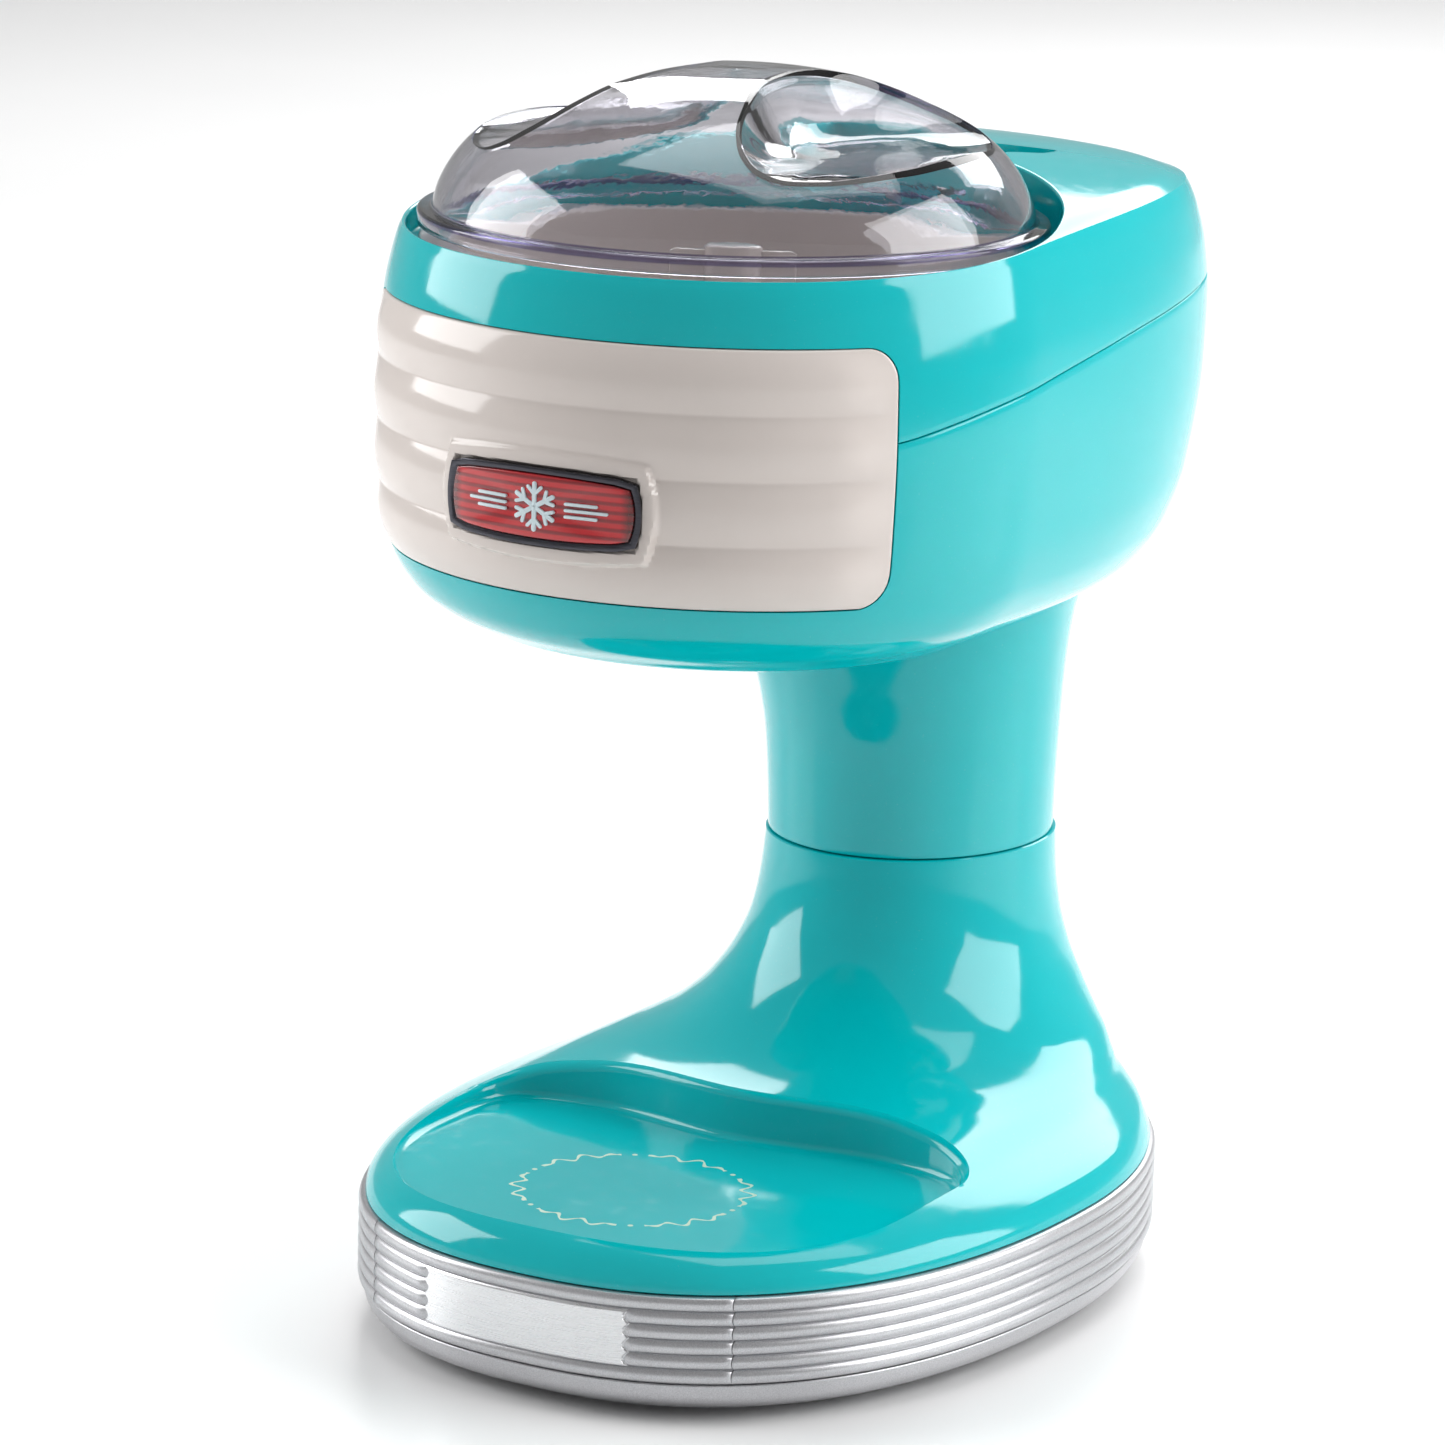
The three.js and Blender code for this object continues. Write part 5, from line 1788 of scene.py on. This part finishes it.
@dataclass
class Lid:
    """The clear lid: flange, dome and two mirrored finger scoops with a ridge to pinch between them."""

    seat: float = 275.4
    flange_top: float = 279.4
    flange_radius: float = 77.0
    wall: float = 2.2
    scoop_floor: float = 296.5
    dome: tuple = (
        (73.4, 280.2), (72.4, 284.0), (70.6, 288.0), (67.6, 292.6), (63.6, 296.8), (58.5, 300.6),
        (52, 304.2), (43, 308.2), (31, 311.8), (16, 314.0), (0.01, 314.6),
    )
    scoop_centre: tuple = (37.0, -4.0)
    scoop_rim: tuple = (
        (20, -28), (23, -38), (28, -46.5), (34, -50.8), (41, -49.5), (49, -42), (55, -32), (60, -18), (61.5, 0),
        (59.5, 20), (52, 33), (42, 40), (30, 42), (20, 36), (14, 22), (12, 5), (15, -12),
    )

    def dome_height(self, radius: Array) -> Array:
        """Returns the dome's outer height at a radius."""
        r, z = zip(*self.dome[::-1])
        return monotone(r, z, radius)

    def dome_solid(self, inset: float) -> Piece:
        """Builds the dome as a solid, moved inwards by an inset.

        Args:
            inset: How far the skin is moved inwards, or 0 for the outside with its flange.

        Returns:
            The finished mesh.
        """
        radii = np.sin(np.linspace(math.pi / 2, 0.004, 44)) * self.dome[0][0]
        foot_radius = self.dome[0][0]
        skin = [(max(r - inset * r / foot_radius, 0.01), z - inset)
                for r, z in zip(radii, self.dome_height(radii))]
        if inset:
            foot = [(0.01, 262), (foot_radius - inset, 262)]
            return lathe("dome_inside", np.array(foot + skin), False, sides=180)
        flange = rounded([(0.01, self.seat, 0), (self.flange_radius, self.seat, 0.5),
                          (self.flange_radius, self.flange_top, 0.9), (foot_radius, self.flange_top, 0.8),
                          (foot_radius, self.flange_top + 2, 0)], 5)[:-1]
        return lathe("lid_clear", np.vstack([flange, skin]), False, sides=180)

    def scoop(self, side: int, grow: float) -> Piece:
        """Builds a finger scoop's space: a steep wall under its rim and a dished floor.

        Args:
            side: 1 for the right scoop, -1 for its mirror image on the left.
            grow: How far the space is grown, for the wall's inner face.

        Returns:
            The finished mesh.
        """
        knots = np.array(self.scoop_rim + self.scoop_rim[:1])
        along = np.linspace(0, len(knots) - 1, 161)[:-1]
        padded = np.vstack([knots[-4:-1], knots, knots[1:4]])
        steps = np.arange(-3, len(knots) + 3)
        rim = np.stack([np.interp(along, steps, padded[:, c]) for c in (0, 1)], 1)
        for _ in range(14):
            rim = 0.5 * rim + 0.25 * (np.roll(rim, 1, 0) + np.roll(rim, -1, 0))
        centre = np.array(self.scoop_centre)
        away = rim - centre
        size = np.linalg.norm(away, axis=1, keepdims=True)
        rim_z = self.dome_height(np.hypot(rim[:, 0], rim[:, 1]))[:, None]
        floor = self.scoop_floor - grow
        rings = [self.scoop_ring(centre, away * (1 + (grow + 3.0) / size), rim_z + 14)]
        rings.append(self.scoop_ring(centre, away * (1 + (grow + 1.1) / size), rim_z + 0.6 - grow))
        for inward in (0.0, 0.02, 0.05, 0.09, 0.14, 0.2, 0.27, 0.36, 0.47, 0.6, 0.75, 0.9, 0.985):
            z = floor + (rim_z - 0.5 - self.scoop_floor) * (1 - inward) ** 5
            rings.append(self.scoop_ring(centre, away * (1 + grow / size) * (1 - inward), z))
        return loft("scoop", spread(rings) * [side, 1, 1])

    def scoop_ring(self, centre: Array, away: Array, z: Array) -> Array:
        """Places a ring of offsets round the scoop's middle at given heights."""
        return np.column_stack([centre + away, np.broadcast_to(z, (len(away), 1))])

    def shell(self) -> Piece:
        """Builds the lid with even walls.

        Returns:
            The finished mesh.
        """
        lid = self.dome_solid(0.0)
        tongue = soften(block("tongue", (-20, 60, 279.3), (20, 89, 281.7)), 0.7)
        combine(lid, tongue, Cut.ADD)
        inside = self.dome_solid(self.wall)
        for side in (1, -1):
            combine(lid, self.scoop(side, 0.0), Cut.TAKE_AWAY)
            combine(inside, self.scoop(side, self.wall), Cut.TAKE_AWAY)
        combine(lid, inside, Cut.TAKE_AWAY)
        return finish_mesh(lid, 30)

    def build(self, palette: Palette) -> None:
        """Builds and dresses the lid."""
        dress(self.shell(), palette.clear, Body.LID, "smoke_clear", "lid")


# ---------------------------------------------------------------- carried-over nodes


@dataclass
class InnerParts:
    """The plunger's coil spring, and the frame nodes that stay as they are with the finishes they take."""

    turns: int = 4
    wire: float = 0.42
    travel: float = 2.5

    def spring(self) -> Piece:
        """Builds the coil spring under the plunger's collar, with close-wound ends.

        Returns:
            The finished mesh.
        """
        low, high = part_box("plunger_spring")
        bottom, top = low.z / MM + self.wire, high.z / MM - self.wire
        radius = (high.x - low.x) / 2 / MM - self.wire
        middle = (low.y + high.y) / 2 / MM - AXIS_Y / MM
        along = np.linspace(0, 1, self.turns * 28 + 1)
        rise = bottom + (top - bottom) * smooth_step(along)
        angle = along * self.turns * 2 * math.pi
        rings = []
        for z, a in zip(rise, angle):
            bend = turn(10)
            reach = radius + self.wire * np.cos(bend)
            rings.append(np.stack([reach * math.cos(a), middle + reach * math.sin(a),
                                   z + self.wire * np.sin(bend)], 1))
        return loft("coil_spring", spread(rings), sharp_degrees=50)

    def build(self, palette: Palette) -> None:
        """Builds the spring and gives each carried-over node its material.

        Args:
            palette: The finishes.
        """
        spring = dress(self.spring(), palette.steel, Body.HOUSING, "steel", "plunger_spring")
        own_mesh(spring)
        finishes = {
            "black_plastic": palette.black, "steel": palette.steel, "acetal": palette.acetal,
            "bronze": palette.bronze, "black": palette.rubber, "cream": palette.cream,
            "turquoise": palette.turquoise, "silver": palette.silver, "satin_plate": palette.plate,
            "dark_chrome": palette.plated, "red": palette.red, "smoke_clear": palette.clear,
        }
        for row in frame["record"]["subparts"]:
            node = frame["nodes"][row["node"]]
            if node.hide_render:
                continue
            node.data.materials.clear()
            node.data.materials.append(finishes[row["material_slot"]])
            LOG.info("%s: carried over as %s", node.name, row["material_slot"])


# ---------------------------------------------------------------- studio


@dataclass
class Studio:
    """The pale floor, the soft lights and the camera."""

    camera_place: tuple = (0.72258, -1.28806, 0.49462)
    azimuth: float = 29.92
    elevation: float = 13.32
    roll: float = 1.69
    lens: float = 149.7

    def floor(self) -> None:
        """Builds a pale round floor whose rim curves up far from the object."""
        bend = np.linspace(0, math.radians(80), 14)
        radii = np.concatenate([[0.002, 0.5, 1.5, 2.6], 3.2 + 2.2 * np.sin(bend)])
        heights = np.concatenate([np.zeros(4), 2.2 - 2.2 * np.cos(bend)])
        around = turn(96)
        points = [(r * math.cos(a), r * math.sin(a), z) for r, z in zip(radii, heights) for a in around]
        faces = [(k * 96 + i, k * 96 + (i + 1) % 96, (k + 1) * 96 + (i + 1) % 96, (k + 1) * 96 + i)
                 for k in range(len(radii) - 1) for i in range(96)]
        faces.append(tuple(reversed(range(96))))
        mesh = bpy.data.meshes.new("studio_floor")
        mesh.from_pydata(points, [], faces)
        mesh.polygons.foreach_set("use_smooth", [True] * len(mesh.polygons))
        floor = bpy.data.objects.new("studio_floor", mesh)
        bpy.context.scene.collection.objects.link(floor)
        g = Graph("pale_floor")
        mottle = g.noise(3, 3)
        mesh.materials.append(g.principled(
            base_color=g.mix(mottle.above(0.5, 0.8), (0.83, 0.83, 0.83), (0.86, 0.86, 0.86)),
            roughness=0.32 + 0.05 * mottle))

    def light(self, name: str, place: tuple, aim: tuple, size: tuple, watts: float) -> None:
        """Adds a softbox.

        Args:
            name: The light's name.
            place: Where it stands, in metres.
            aim: The point it faces.
            size: Its width and height.
            watts: Its power.
        """
        data = bpy.data.lights.new(name, "AREA")
        data.shape, data.size, data.size_y, data.energy = "RECTANGLE", size[0], size[1], watts
        lamp = bpy.data.objects.new(name, data)
        lamp.location = place
        lamp.rotation_euler = (Vector(aim) - Vector(place)).to_track_quat("-Z", "Y").to_euler()
        bpy.context.scene.collection.objects.link(lamp)

    def lights(self) -> None:
        """Adds the softboxes and the room's glow."""
        middle = (0, 0, 0.17)
        self.light("left_softbox", (-1.50, -0.52, 0.85), middle, (1.10, 1.10), 21)
        self.light("right_softbox", (1.42, 0.58, 0.85), middle, (1.30, 1.15), 25)
        self.light("top_softbox", (0.1, 0.35, 1.9), (0, 0.05, 0), (1.6, 1.4), 18)
        self.light("back_softbox", (-0.4, 2.4, 1.5), (0, 1.6, 0.0), (2.6, 1.2), 46)
        world = bpy.data.worlds.new("room")
        world.use_nodes = True
        background = world.node_tree.nodes["Background"]
        background.inputs[0].default_value = (1.0, 1.0, 1.0, 1.0)
        background.inputs[1].default_value = 0.36
        bpy.context.scene.world = world

    def camera(self) -> None:
        """Adds the camera, aimed by its azimuth, elevation and roll."""
        az, el, roll = (math.radians(v) for v in (self.azimuth, self.elevation, self.roll))
        ahead = Vector((-math.sin(az) * math.cos(el), math.cos(az) * math.cos(el), -math.sin(el)))
        right = ahead.cross(Vector((0, 0, 1))).normalized()
        up = right.cross(ahead)
        rolled = math.cos(roll) * right + math.sin(roll) * up
        upright = math.cos(roll) * up - math.sin(roll) * right
        data = bpy.data.cameras.new("camera")
        data.lens, data.sensor_width = self.lens, 36
        camera = bpy.data.objects.new("camera", data)
        turn_matrix = Matrix((rolled, upright, -ahead)).transposed()
        camera.matrix_world = Matrix.Translation(self.camera_place) @ turn_matrix.to_4x4()
        bpy.context.scene.collection.objects.link(camera)
        bpy.context.scene.camera = camera

    def build(self) -> None:
        """Builds the whole studio."""
        bpy.context.scene.view_settings.view_transform = "Standard"
        self.floor()
        self.lights()
        self.camera()


def main() -> None:
    """Builds the ice shaver and its studio."""
    logging.basicConfig(level=logging.INFO)
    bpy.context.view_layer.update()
    palette = Palette()
    Base().build(palette)
    Column().build(palette)
    Head().build(palette)
    Hopper().build(palette)
    Lid().build(palette)
    InnerParts().build(palette)
    Studio().build()


if __name__ == "__main__":
    main()
